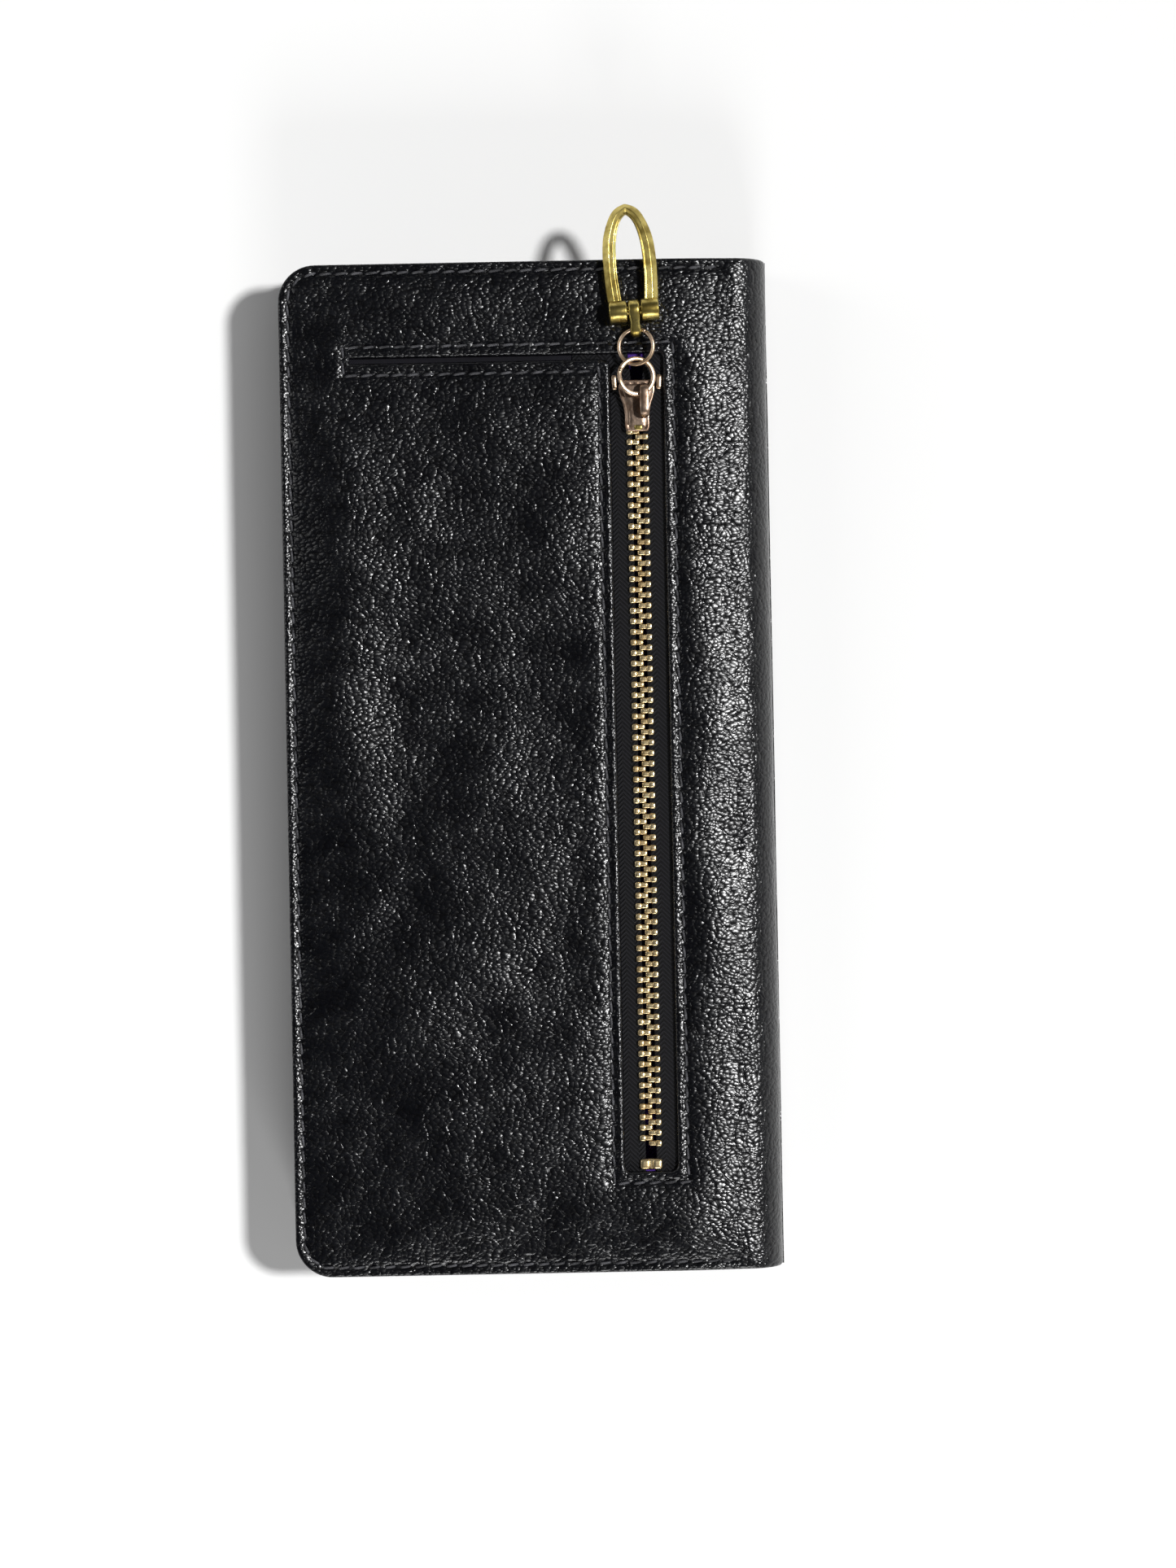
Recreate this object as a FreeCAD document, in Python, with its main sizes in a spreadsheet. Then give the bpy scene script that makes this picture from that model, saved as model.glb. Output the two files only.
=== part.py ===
import FreeCAD, Part
import math
import os
import Sketcher

# Long book-fold wallet with a straight zip coin pocket in its front cover, in millimetres.
# X runs from the open edge to the spine, Y up the long side, Z up through the closed wallet.
# The wallet lies on its back cover at Z = 0 with its zip face up.

doc = FreeCAD.newDocument("ZipWallet")
sheet = doc.addObject("Spreadsheet::Sheet", "Sizes")

SIZES = (
    # the closed wallet
    ("cover_width", "92"),
    ("cover_length", "190"),
    ("closed_thickness", "20"),
    ("corner_radius", "7"),
    ("spine_radius", "7.5"),
    ("spine_slack", "2.5"),
    ("spine_board_gap", "0.3"),
    # sheet materials
    ("leather", "1.2"),
    ("board", "0.8"),
    ("cloth", "0.4"),
    ("panel", "1.0"),
    ("card_row", "0.8"),
    ("bill_gap", "1.0"),
    ("front_bill_gap", "0.8"),
    ("thin_hide", "0.2"),
    # levels of the front half, counted down from the zip face
    ("tape_thickness", "0.5"),
    ("coin_depth", "3.5"),
    # edges and pockets
    ("strip_width", "3.5"),
    ("board_inset", "3.6"),
    ("row_inset", "1.0"),
    ("first_mouth", "2.0"),
    ("back_mouth_step", "9.0"),
    ("front_mouth_step", "10.0"),
    # stitching
    ("stitch_inset", "1.75"),
    ("channel_half_width", "0.45"),
    ("channel_depth", "0.3"),
    ("channel_end", "1.0"),
    ("stitch_pitch", "2.9"),
    ("stitch_length", "2.1"),
    ("stitch_width", "0.45"),
    ("stitch_height", "0.25"),
    ("window_stitch_gap", "2.1"),
    ("slit_stitch_above", "2.4"),
    ("slit_stitch_below", "2.9"),
    # zip window and the slit of the slip pocket, one L-shaped opening
    ("zip_x", "21.0"),
    ("window_half", "4.9"),
    ("window_low", "-76.2"),
    ("window_high", "77.3"),
    ("window_corner", "1.2"),
    ("slit_height", "1.0"),
    ("slit_left", "-32.8"),
    # zip
    ("tape_gap_half", "1.0"),
    ("tape_outer_half", "12.0"),
    ("tape_low", "-82"),
    ("tape_high", "84"),
    ("tooth_pitch", "1.98"),
    ("tooth_width", "0.95"),
    ("tooth_root", "2.1"),
    ("tooth_nose", "0.4"),
    ("tooth_height", "2.0"),
    ("chain_high", "68.6"),
    ("chain_low", "-73.0"),
    # slip pocket and coin pocket
    ("slip_left", "-42"),
    ("slip_right", "8.9"),
    ("slip_low", "-80"),
    ("slip_high", "84"),
    ("coin_half", "13.0"),
    ("coin_low", "-84"),
    ("coin_high", "86"),
    ("coin_wall", "1.5"),
    ("coin_slot_half", "4.4"),
    ("coin_slot_low", "-76"),
    ("coin_slot_high", "76"),
    # slider
    ("slider_high", "72.3"),
    ("slider_length", "9.7"),
    ("slider_shoulder_half", "3.45"),
    ("slider_mouth_half", "2.7"),
    ("slider_tail_half", "2.35"),
    ("mouth_slope", "1.6"),
    ("shoulder_reach", "4.6"),
    ("plate_low_z", "16.85"),
    ("plate_thickness", "0.6"),
    ("channel_half", "2.15"),
    ("slider_channel_height", "2.2"),
    ("top_plate", "0.7"),
    ("tape_slot_half", "5.0"),
    ("tape_slot_low", "18.2"),
    ("tape_slot_high", "18.9"),
    ("diamond_half", "0.75"),
    ("diamond_length", "2.8"),
    ("bridge_shift", "1.2"),
    ("bridge_width", "1.5"),
    ("bridge_low", "64.8"),
    ("bridge_high", "71.8"),
    ("bridge_leg", "0.9"),
    ("bridge_top_z", "22.9"),
    ("tunnel_top_z", "22.3"),
    ("bridge_round", "1.1"),
    ("tunnel_round", "0.5"),
    # rings and puller
    ("ring_radius", "3.3"),
    ("lower_wire", "0.40"),
    ("upper_wire", "0.36"),
    ("ring_z", "21.7"),
    ("lower_ring_y", "72.75"),
    ("upper_ring_y", "78.3"),
    ("ring_tilt", "16"),
    ("eye_y", "81.55"),
    ("eye_half", "1.1"),
    ("eye_hole", "0.8"),
    ("eye_tip_radius", "1.5"),
    ("pin_y", "85.0"),
    ("pin_z", "22.15"),
    ("pin_radius", "0.9"),
    ("pin_clearance", "0.05"),
    ("long_bore", "14"),
    ("barrel_radius", "2.08"),
    ("knuckle_inner", "1.35"),
    ("loop_base_half", "4.65"),
    ("loop_belly_half", "5.05"),
    ("loop_belly_y", "8.0"),
    ("loop_shoulder_half", "4.75"),
    ("loop_shoulder_y", "13.6"),
    ("loop_brow_half", "2.9"),
    ("loop_brow_y", "18.5"),
    ("loop_tip_half", "0.9"),
    ("loop_tip_y", "20.2"),
    ("gap_base_half", "1.9"),
    ("gap_belly_half", "2.45"),
    ("gap_belly_y", "6.0"),
    ("gap_shoulder_half", "2.4"),
    ("gap_shoulder_y", "12.4"),
    ("gap_brow_half", "1.5"),
    ("gap_brow_y", "16.4"),
    ("gap_tip_half", "0.5"),
    ("gap_tip_y", "18.1"),
    ("loop_foot", "0.6"),
    ("loop_z", "20.45"),
    ("loop_thickness", "2.15"),
    ("loop_lean", "4"),
)

# sizes that follow from the sheet's own numbers, each a sum of named sizes
DERIVED = {
    # the closed wallet
    "fold_x": "half_width - spine_radius",
    "inner_edge_x": "fold_x - spine_slack",
    # levels of the back half, counted up from the rest face
    "back_board_z": "leather",
    "back_lining_z": "back_board_z + board",
    "back_panel_z": "back_lining_z + cloth + bill_gap",
    "back_rows_z": "back_panel_z + panel",
    "back_strip_height": "back_panel_z - leather",
    # levels of the front half, counted down from the zip face
    "front_cover_z": "closed_thickness - leather",
    "tape_z": "front_cover_z - tape_thickness",
    "coin_outer_z": "tape_z - cloth",
    "coin_gusset_z": "coin_outer_z - coin_depth",
    "coin_inner_z": "coin_gusset_z - cloth",
    "front_board_z": "coin_inner_z - board",
    "front_lining_z": "front_board_z - cloth",
    "front_panel_z": "front_lining_z - front_bill_gap - panel",
    "front_strip_z": "front_panel_z + panel",
    "front_strip_height": "front_cover_z - front_strip_z",
    "facing_z": "front_cover_z - thin_hide",
    "backing_z": "tape_z",
    # the spine's layers
    "spine_skin_x": "half_width - leather",
    "spine_skin_radius": "spine_radius - leather",
    "spine_skin_high": "closed_thickness - leather",
    "spine_board_x": "spine_skin_x - board",
    "spine_board_radius": "spine_skin_radius - board",
    "spine_lining_low": "leather + board",
    "spine_lining_high": "spine_skin_high - board",
    "spine_cloth_x": "spine_board_x - cloth",
    "spine_cloth_radius": "spine_board_radius - cloth",
    "spine_cloth_low": "spine_lining_low + cloth",
    "spine_cloth_high": "spine_lining_high - cloth",
    "spine_board_low": "spine_radius + spine_board_gap",
    "spine_board_high": "closed_thickness - spine_board_low",
    # edges and pockets
    "strip_corner": "corner_radius - strip_width",
    "board_corner": "corner_radius - board_inset",
    "row_corner": "corner_radius - row_inset",
    # stitching
    "channel_outer": "stitch_inset - channel_half_width",
    "channel_inner": "stitch_inset + channel_half_width",
    "channel_outer_corner": "corner_radius - channel_outer",
    "channel_inner_corner": "corner_radius - channel_inner",
    # zip window and the slit of the slip pocket, one L-shaped opening
    "slit_low": "window_high - slit_height",
    "window_left": "zip_x - window_half",
    "window_right": "zip_x + window_half",
    # slip pocket and coin pocket
    "coin_left": "zip_x - coin_half",
    "coin_right": "zip_x + coin_half",
    # slider
    "slider_channel_low": "plate_low_z + plate_thickness",
    "slider_channel_high": "slider_channel_low + slider_channel_height",
    "slider_top_z": "slider_channel_high + top_plate",
    "slider_height": "slider_top_z - plate_low_z",
    # rings and puller
    "eye_width": "eye_half + eye_half",
    "pin_bore": "pin_radius + pin_clearance",
    "knuckle_length": "loop_base_half - knuckle_inner",
    "pin_length": "loop_base_half + loop_base_half",
}

HALVES = {"half_width": "cover_width", "half_length": "cover_length"}

for row, (name, content) in enumerate(SIZES, start=1):
    sheet.set(f"A{row}", name)
    sheet.set(f"B{row}", content)
    sheet.setAlias(f"B{row}", name)
doc.recompute()

PARTS = []
TOUCHING = 1e-6
# a stitch channel takes away at least this many cubic millimetres
LEAST_CUT = 1.0


def value(text):
    """Number that a sum of named sizes, such as 'half_length - stitch_inset', comes to."""
    total = 0.0
    sign = 1.0
    for word in text.split():
        if word == "+":
            sign = 1.0
        elif word == "-":
            sign = -1.0
        elif word in HALVES:
            total += sign * float(sheet.get(HALVES[word])) / 2
        elif word in DERIVED:
            total += sign * value(DERIVED[word])
        elif word != "0":
            total += sign * float(sheet.get(word))
    return total


def bound(text):
    """The same sum written as an expression on the sheet."""
    words = []
    for word in text.split():
        if word in ("+", "-", "0"):
            words.append(word)
        elif word in HALVES:
            words.append(f"Sizes.{HALVES[word]} / 2")
        elif word in DERIVED:
            words.append(f"({bound(DERIVED[word])})")
        else:
            words.append(f"Sizes.{word}")
    return " ".join(words)


def negative(text):
    """The sum with every sign turned round."""
    swapped = {"+": "-", "-": "+"}
    words = [swapped.get(word, word) for word in text.split()]
    return "0 - " + " ".join(words)


def origin_plane(body, role):
    """One of a body's own origin planes, such as XY_Plane."""
    return [item for item in body.Origin.OriginFeatures if item.Role == role][0]


def new_body(label):
    """A body with its own name, listed for export."""
    body = doc.addObject("PartDesign::Body", label)
    body.Label = label
    PARTS.append(body)
    return body


def bind_point(sketch, geometry, end, across, up):
    """Hold one point of a sketch at named distances from the origin."""
    for kind, text in (("DistanceX", across), ("DistanceY", up)):
        held = sketch.addConstraint(Sketcher.Constraint(kind, -1, 1, geometry, end, value(text)))
        sketch.setExpression(f"Constraints[{held}]", bound(text))


def unit(start, end):
    """Unit direction between two plane points."""
    run = (end[0] - start[0], end[1] - start[1])
    length = math.hypot(run[0], run[1])
    return (run[0] / length, run[1] / length)


def rounded_corner(sketch, corner, before, after):
    """Quarter arc at a square corner; returns its number and the ends met first and last."""
    place = (value(corner[0]), value(corner[1]))
    radius = value(corner[2])
    back = unit(place, before)
    ahead = unit(place, after)
    side = (back[0] + ahead[0], back[1] + ahead[1])
    across = corner[0] + (" + " if side[0] > 0 else " - ") + corner[2]
    up = corner[1] + (" + " if side[1] > 0 else " - ") + corner[2]
    centre = FreeCAD.Vector(value(across), value(up), 0)
    left_turn = ahead[0] * back[1] - ahead[1] * back[0] > 0
    first, last = (back, ahead) if left_turn else (ahead, back)
    # the tangent point along one side lies square to the other side of the corner
    first_angle = math.atan2(-(side[1] - first[1]), -(side[0] - first[0]))
    last_angle = math.atan2(-(side[1] - last[1]), -(side[0] - last[0]))
    circle = Part.Circle(centre, FreeCAD.Vector(0, 0, 1), radius)
    number = sketch.addGeometry(Part.ArcOfCircle(circle, first_angle, last_angle), False)
    bind_point(sketch, number, 3, across, up)
    held = sketch.addConstraint(Sketcher.Constraint("Radius", number, radius))
    sketch.setExpression(f"Constraints[{held}]", bound(corner[2]))
    for end, direction in ((1, first), (2, last)):
        kind = "Vertical" if abs(direction[0]) > 0.5 else "Horizontal"
        sketch.addConstraint(Sketcher.Constraint(kind, number, end, number, 3))
    return (number, 1, 2) if left_turn else (number, 2, 1)


def draw_loop(sketch, loop):
    """Closed outline of corners (across, up) or (across, up, radius), each held by the sheet."""
    places = [FreeCAD.Vector(value(corner[0]), value(corner[1]), 0) for corner in loop]
    count = len(loop)
    chain = []
    loose = []
    joined_before = False
    for index, corner in enumerate(loop):
        following = (index + 1) % count
        rounded = len(corner) == 3
        if rounded:
            arc = rounded_corner(sketch, corner, places[index - 1], places[following])
            chain.append(arc)
        ahead = unit(places[index], places[following])
        step = FreeCAD.Vector(ahead[0], ahead[1], 0)
        start = places[index] + step * (value(corner[2]) if rounded else 0)
        end = places[following] - step * (value(loop[following][2]) if len(loop[following]) == 3 else 0)
        touching = (end - start).Length < TOUCHING
        if not touching:
            line = sketch.addGeometry(Part.LineSegment(start, end), False)
            chain.append((line, 1, 2))
            if not rounded and not joined_before:
                loose.append((line, corner))
        joined_before = touching
    for index, piece in enumerate(chain):
        following = chain[(index + 1) % len(chain)]
        ends = (piece[0], piece[2], following[0], following[1])
        sketch.addConstraint(Sketcher.Constraint("Coincident", *ends))
    for line, corner in loose:
        bind_point(sketch, line, 1, corner[0], corner[1])


def draw(body, name, role, loops, lift=None):
    """Sketch on an origin plane of the body, lifted off it by a named height if one is given."""
    sketch = body.newObject("Sketcher::SketchObject", name)
    sketch.AttachmentSupport = [(origin_plane(body, role), "")]
    sketch.MapMode = "FlatFace"
    if lift:
        sketch.setExpression(".AttachmentOffset.Base.z", bound(lift))
    for loop in loops:
        draw_loop(sketch, loop)
    return sketch


def pad(body, sketch, name, length, middle=False):
    """Thicken a sketch by a named length."""
    feature = body.newObject("PartDesign::Pad", name)
    feature.Profile = sketch
    feature.Midplane = middle
    feature.Length = value(length)
    feature.setExpression("Length", bound(length))
    return feature


def raise_to(thing, height):
    """Set the height of a sub-part's own frame."""
    thing.setExpression(".Placement.Base.z", bound(height))


def flat_part(label, loops, thickness, height):
    """Sheet part cut to outlines and laid at a height."""
    body = new_body(label)
    outline = draw(body, f"{label}_outline", "XY_Plane", loops)
    pad(body, outline, f"{label}_sheet", thickness)
    raise_to(body, height)
    return body


def rectangle(left, right, low, high):
    """Plain rectangular outline."""
    return [(left, low), (right, low), (right, high), (left, high)]


def leaf(left, right, reach, radius):
    """Rectangle with its two open-edge corners rounded."""
    return [
        (left, negative(reach), radius),
        (right, negative(reach)),
        (right, reach),
        (left, reach, radius),
    ]


def open_frame(left, right, reach, radius, width, inner_radius):
    """Three-sided band round the open edge and both ends, open towards the spine."""
    inner_left = f"{left} + {width}"
    inner_reach = f"{reach} - {width}"
    return [
        (left, negative(reach), radius),
        (right, negative(reach)),
        (right, negative(inner_reach)),
        (inner_left, negative(inner_reach), inner_radius),
        (inner_left, inner_reach, inner_radius),
        (right, inner_reach),
        (right, reach),
        (left, reach, radius),
    ]


def channel_loop():
    """Sunken line that the edge stitching lies in."""
    low = "half_length - channel_outer"
    high = "half_length - channel_inner"
    outer_left = "0 - half_width + channel_outer"
    inner_left = "0 - half_width + channel_inner"
    right = "fold_x - channel_end"
    return [
        (outer_left, negative(low), "channel_outer_corner"),
        (right, negative(low)),
        (right, negative(high)),
        (inner_left, negative(high), "channel_inner_corner"),
        (inner_left, high, "channel_inner_corner"),
        (right, high),
        (right, low),
        (outer_left, low, "channel_outer_corner"),
    ]


def cut_channel(body, name, lift, upwards):
    """Sink the stitching channel into one face of a cover."""
    doc.recompute()
    before = body.Shape.Volume
    sketch = draw(body, f"{name}_line", "XY_Plane", [channel_loop()], lift)
    pocket = body.newObject("PartDesign::Pocket", name)
    pocket.Profile = sketch
    pocket.Reversed = upwards
    pocket.Length = value("channel_depth")
    pocket.setExpression("Length", bound("channel_depth"))
    doc.recompute()
    if body.Shape.Volume > before - LEAST_CUT:
        raise RuntimeError(f"{name} removed no leather")


OPEN_EDGE = "0 - half_width"
BOARD_EDGE = "0 - half_width + board_inset"
ROW_EDGE = "0 - half_width + row_inset"

# ---------------------------------------------------------------- back half

back_cover = flat_part(
    "back_cover_leather",
    [leaf(OPEN_EDGE, "fold_x", "half_length", "corner_radius")],
    "leather",
    "0",
)
cut_channel(back_cover, "back_channel", None, True)

for label, thickness, height in (
    ("back_stiffener", "board", "back_board_z"),
    ("back_lining", "cloth", "back_lining_z"),
):
    outline = leaf(BOARD_EDGE, "inner_edge_x", "half_length - board_inset", "board_corner")
    flat_part(label, [outline], thickness, height)

back_frame = open_frame(
    OPEN_EDGE, "inner_edge_x", "half_length", "corner_radius", "strip_width", "strip_corner"
)
flat_part("back_edge_strip", [back_frame], "back_strip_height", "back_board_z")
flat_part(
    "back_pocket_panel",
    [leaf(OPEN_EDGE, "inner_edge_x", "half_length", "corner_radius")],
    "panel",
    "back_panel_z",
)


def card_rows(side, count, step, base, upwards):
    """Overlapping card rows, each a little shorter than the one under it."""
    for index in range(count):
        mouth = "inner_edge_x - first_mouth" + f" - {step}" * index
        layers = index if upwards else index + 1
        height = base + (" + " if upwards else " - ") * bool(layers)
        height += (" + " if upwards else " - ").join(["card_row"] * layers)
        label = f"{side}_card_row_{count - index}"
        outline = leaf(ROW_EDGE, mouth, "half_length - row_inset", "row_corner")
        flat_part(label, [outline], "card_row", height)


card_rows("back", 4, "back_mouth_step", "back_rows_z", True)

# ---------------------------------------------------------------- spine


def bent_part(label, section):
    """Section across the spine run along the full length of the cover."""
    body = new_body(label)
    sketch = draw(body, f"{label}_section", "XZ_Plane", [section])
    pad(body, sketch, f"{label}_run", "cover_length", middle=True)
    return body


bent_part(
    "spine_leather",
    [
        ("fold_x", "0"),
        ("half_width", "0", "spine_radius"),
        ("half_width", "closed_thickness", "spine_radius"),
        ("fold_x", "closed_thickness"),
        ("fold_x", "spine_skin_high"),
        ("spine_skin_x", "spine_skin_high", "spine_skin_radius"),
        ("spine_skin_x", "leather", "spine_skin_radius"),
        ("fold_x", "leather"),
    ],
)
bent_part(
    "spine_lining",
    [
        ("fold_x", "spine_lining_low"),
        ("spine_board_x", "spine_lining_low", "spine_board_radius"),
        ("spine_board_x", "spine_lining_high", "spine_board_radius"),
        ("fold_x", "spine_lining_high"),
        ("fold_x", "spine_cloth_high"),
        ("spine_cloth_x", "spine_cloth_high", "spine_cloth_radius"),
        ("spine_cloth_x", "spine_cloth_low", "spine_cloth_radius"),
        ("fold_x", "spine_cloth_low"),
    ],
)
bent_part(
    "spine_stiffener",
    [
        ("spine_board_x", "spine_board_low"),
        ("spine_skin_x", "spine_board_low"),
        ("spine_skin_x", "spine_board_high"),
        ("spine_board_x", "spine_board_high"),
    ],
)

# ---------------------------------------------------------------- front half

window = [
    ("window_left", "window_low", "window_corner"),
    ("window_right", "window_low", "window_corner"),
    ("window_right", "window_high"),
    ("slit_left", "window_high"),
    ("slit_left", "slit_low"),
    ("window_left", "slit_low"),
]
front_cover = flat_part(
    "front_cover_leather",
    [leaf(OPEN_EDGE, "fold_x", "half_length", "corner_radius"), window],
    "leather",
    "front_cover_z",
)
cut_channel(front_cover, "front_channel", "leather", False)

flat_part(
    "slip_pocket_facing",
    [rectangle("slip_left", "slip_right", "slip_low", "slit_low")],
    "thin_hide",
    "facing_z",
)
flat_part(
    "slip_pocket_backing",
    [rectangle("slip_left", "slip_right", "slip_low", "slip_high")],
    "thin_hide",
    "backing_z",
)
for side, inner, outer in (
    ("left", "zip_x - tape_gap_half", "zip_x - tape_outer_half"),
    ("right", "zip_x + tape_outer_half", "zip_x + tape_gap_half"),
):
    outline = rectangle(outer, inner, "tape_low", "tape_high")
    flat_part(f"zip_tape_{side}", [outline], "tape_thickness", "tape_z")

coin_outline = rectangle("coin_left", "coin_right", "coin_low", "coin_high")
coin_slot = rectangle(
    "zip_x - coin_slot_half", "zip_x + coin_slot_half", "coin_slot_low", "coin_slot_high"
)
coin_inside = rectangle(
    "coin_left + coin_wall",
    "coin_right - coin_wall",
    "coin_low + coin_wall",
    "coin_high - coin_wall",
)
flat_part("coin_pocket_outer_panel", [coin_outline, coin_slot], "cloth", "coin_outer_z")
flat_part("coin_pocket_gusset", [coin_outline, coin_inside], "coin_depth", "coin_gusset_z")
flat_part("coin_pocket_inner_panel", [coin_outline], "cloth", "coin_inner_z")

for label, thickness, height in (
    ("front_stiffener", "board", "front_board_z"),
    ("front_lining", "cloth", "front_lining_z"),
):
    outline = leaf(BOARD_EDGE, "inner_edge_x", "half_length - board_inset", "board_corner")
    flat_part(label, [outline], thickness, height)

front_frame = open_frame(
    OPEN_EDGE, "inner_edge_x", "half_length", "corner_radius", "strip_width", "strip_corner"
)
flat_part("front_edge_strip", [front_frame], "front_strip_height", "front_strip_z")
flat_part(
    "front_pocket_panel",
    [leaf(OPEN_EDGE, "inner_edge_x", "half_length", "corner_radius")],
    "panel",
    "front_panel_z",
)
card_rows("front", 3, "front_mouth_step", "front_panel_z", False)

# ---------------------------------------------------------------- zip chain


def listed_shape(label, shape):
    """Sub-part whose repeated pieces are built in one go from the sheet's sizes."""
    thing = doc.addObject("Part::Feature", label)
    thing.Label = label
    thing.Shape = shape
    PARTS.append(thing)
    return thing


def tooth(side, middle):
    """One zip tooth clamped over its tape edge and reaching just past the centre line."""
    nose = value("tooth_nose")
    root = -value("tooth_root")
    grip = -value("tape_gap_half")
    low = value("tape_z") + value("tape_thickness") / 2 - value("tooth_height") / 2
    high = low + value("tooth_height")
    tape_low = value("tape_z")
    tape_high = tape_low + value("tape_thickness")
    section = (
        (root, low),
        (nose, low),
        (nose, high),
        (root, high),
        (root, tape_high),
        (grip, tape_high),
        (grip, tape_low),
        (root, tape_low),
        (root, low),
    )
    start = middle - value("tooth_width") / 2
    corners = [FreeCAD.Vector(value("zip_x") + side * x, start, z) for x, z in section]
    face = Part.Face(Part.makePolygon(corners))
    return face.extrude(FreeCAD.Vector(0, value("tooth_width"), 0))


def tooth_row(label, side, first):
    """Row of teeth from just under the slider down to the bottom stop."""
    pitch = value("tooth_pitch")
    count = int((first - value("chain_low")) / pitch)
    teeth = [tooth(side, first - pitch * index) for index in range(count)]
    listed_shape(label, Part.makeCompound(teeth))


tooth_row("zip_teeth_left", 1, value("chain_high"))
tooth_row("zip_teeth_right", -1, value("chain_high") - value("tooth_pitch") / 2)


def block(left, low, bottom, across, along, high):
    """Plain rectangular piece from its low corner and its three sizes."""
    return Part.makeBox(across, along, high, FreeCAD.Vector(left, low, bottom))


TOP_STOP_OFFSET = 4.2
TOP_STOP_SIZE = (1.0, 2.8, 0.8)
TOP_STOP_LOW = 70.5
BOTTOM_STOP_RISE = 0.3
BOTTOM_STOP_HALF = 2.1
BOTTOM_STOP_LENGTH = 2.0
tape_top = value("tape_z") + value("tape_thickness")
top_stops = []
for side in (-1, 1):
    middle = value("zip_x") + side * TOP_STOP_OFFSET
    left = middle - TOP_STOP_SIZE[0] / 2
    stop = block(left, TOP_STOP_LOW, tape_top, *TOP_STOP_SIZE)
    top_stops.append(stop)
listed_shape("zip_top_stops", Part.makeCompound(top_stops))

grip_half = value("tape_gap_half")
tooth_low = value("tape_z") - (value("tooth_height") - value("tape_thickness")) / 2
stop_low = value("window_low") + BOTTOM_STOP_RISE
stop_left = value("zip_x") - BOTTOM_STOP_HALF
upper_bar = block(
    stop_left, stop_low, tape_top, 2 * BOTTOM_STOP_HALF, BOTTOM_STOP_LENGTH, TOP_STOP_SIZE[2]
)
neck = block(
    value("zip_x") - grip_half,
    stop_low,
    tooth_low,
    2 * grip_half,
    BOTTOM_STOP_LENGTH,
    tape_top - tooth_low,
)
listed_shape("zip_bottom_stop", upper_bar.fuse(neck).removeSplitter())

# ---------------------------------------------------------------- stitching


def stitch(start, end, level):
    """One stitch lying along the line from start to end at a level."""
    ahead = end - start
    length = value("stitch_length")
    width = value("stitch_width")
    piece = block(-length / 2, -width / 2, 0, length, width, value("stitch_height"))
    turn = math.degrees(math.atan2(ahead.y, ahead.x))
    middle = (start + end) * 0.5
    place = FreeCAD.Vector(middle.x, middle.y, level)
    piece.Placement = FreeCAD.Placement(place, FreeCAD.Rotation(FreeCAD.Vector(0, 0, 1), turn))
    return piece


def stitch_line(edges, levels):
    """Stitches at an even pitch along joined edges, repeated at each level."""
    pieces = []
    wire = Part.Wire(Part.sortEdges(edges)[0])
    count = int(round(wire.Length / value("stitch_pitch")))
    points = wire.discretize(Number=count + 1)
    for start, end in zip(points, points[1:]):
        for level in levels:
            pieces.append(stitch(start, end, level))
    return pieces


def straight(x1, y1, x2, y2):
    """Straight edge in the plane."""
    return Part.makeLine(FreeCAD.Vector(x1, y1, 0), FreeCAD.Vector(x2, y2, 0))


def edge_run(right):
    """Stitch line round the open edge with its two rounded corners."""
    inset = value("stitch_inset")
    left = inset - value("half_width")
    high = value("half_length") - inset
    radius = value("corner_radius") - inset
    run = [straight(right, -high, left + radius, -high)]
    run.append(straight(left, radius - high, left, high - radius))
    run.append(straight(left + radius, high, right, high))
    for up, first, last in ((-1, 180, 270), (1, 90, 180)):
        centre = FreeCAD.Vector(left + radius, up * (high - radius), 0)
        run.append(Part.makeCircle(radius, centre, FreeCAD.Vector(0, 0, 1), first, last))
    return run


run_end = value("inner_edge_x") - value("channel_end")
inside_level = value("back_rows_z")
LIFT = 0.02
listed_shape("back_edge_stitching", Part.makeCompound(stitch_line(edge_run(run_end), [LIFT])))
front_stitch_z = value("closed_thickness") - value("channel_depth")
listed_shape(
    "front_edge_stitching", Part.makeCompound(stitch_line(edge_run(run_end), [front_stitch_z]))
)

gap = value("window_stitch_gap")
left_line = value("window_left") - gap
right_line = value("window_right") + gap
foot_line = value("window_low") - gap
head_line = value("window_high") + value("slit_stitch_above") - value("slit_height") / 2
under_line = value("slit_low") + value("slit_height") / 2 - value("slit_stitch_below")
SLIT_STITCH_REACH = 1.2
slit_end = value("slit_left") - SLIT_STITCH_REACH
top_level = [value("closed_thickness")]
window_stitches = stitch_line(
    [
        straight(slit_end, under_line, left_line, under_line),
        straight(left_line, under_line, left_line, foot_line),
        straight(left_line, foot_line, right_line, foot_line),
        straight(right_line, foot_line, right_line, head_line),
        straight(right_line, head_line, slit_end, head_line),
        straight(slit_end, head_line, slit_end, under_line),
    ],
    top_level,
)
listed_shape("window_stitching", Part.makeCompound(window_stitches))

ROW_STITCH_FROM_MOUTH = 1.5
ROW_STITCH_FROM_EDGE = 2.5
ROW_STITCH_RUNS = (("back", 4, "back_mouth_step", 1), ("front", 3, "front_mouth_step", -1))
for side, count, step, up in ROW_STITCH_RUNS:
    # the two columns of card pockets are parted by one line of stitches on the top row
    top = value("back_rows_z") + count * value("card_row")
    if up < 0:
        top = value("front_panel_z") - count * value("card_row") - value("stitch_height")
    mouth = value("inner_edge_x - first_mouth") - (count - 1) * value(step)
    reach = mouth - ROW_STITCH_FROM_MOUTH
    start = value(ROW_EDGE) + ROW_STITCH_FROM_EDGE
    pieces = stitch_line([straight(start, 0, reach, 0)], [top])
    listed_shape(f"{side}_slot_stitching", Part.makeCompound(pieces))

# ---------------------------------------------------------------- slider

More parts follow.
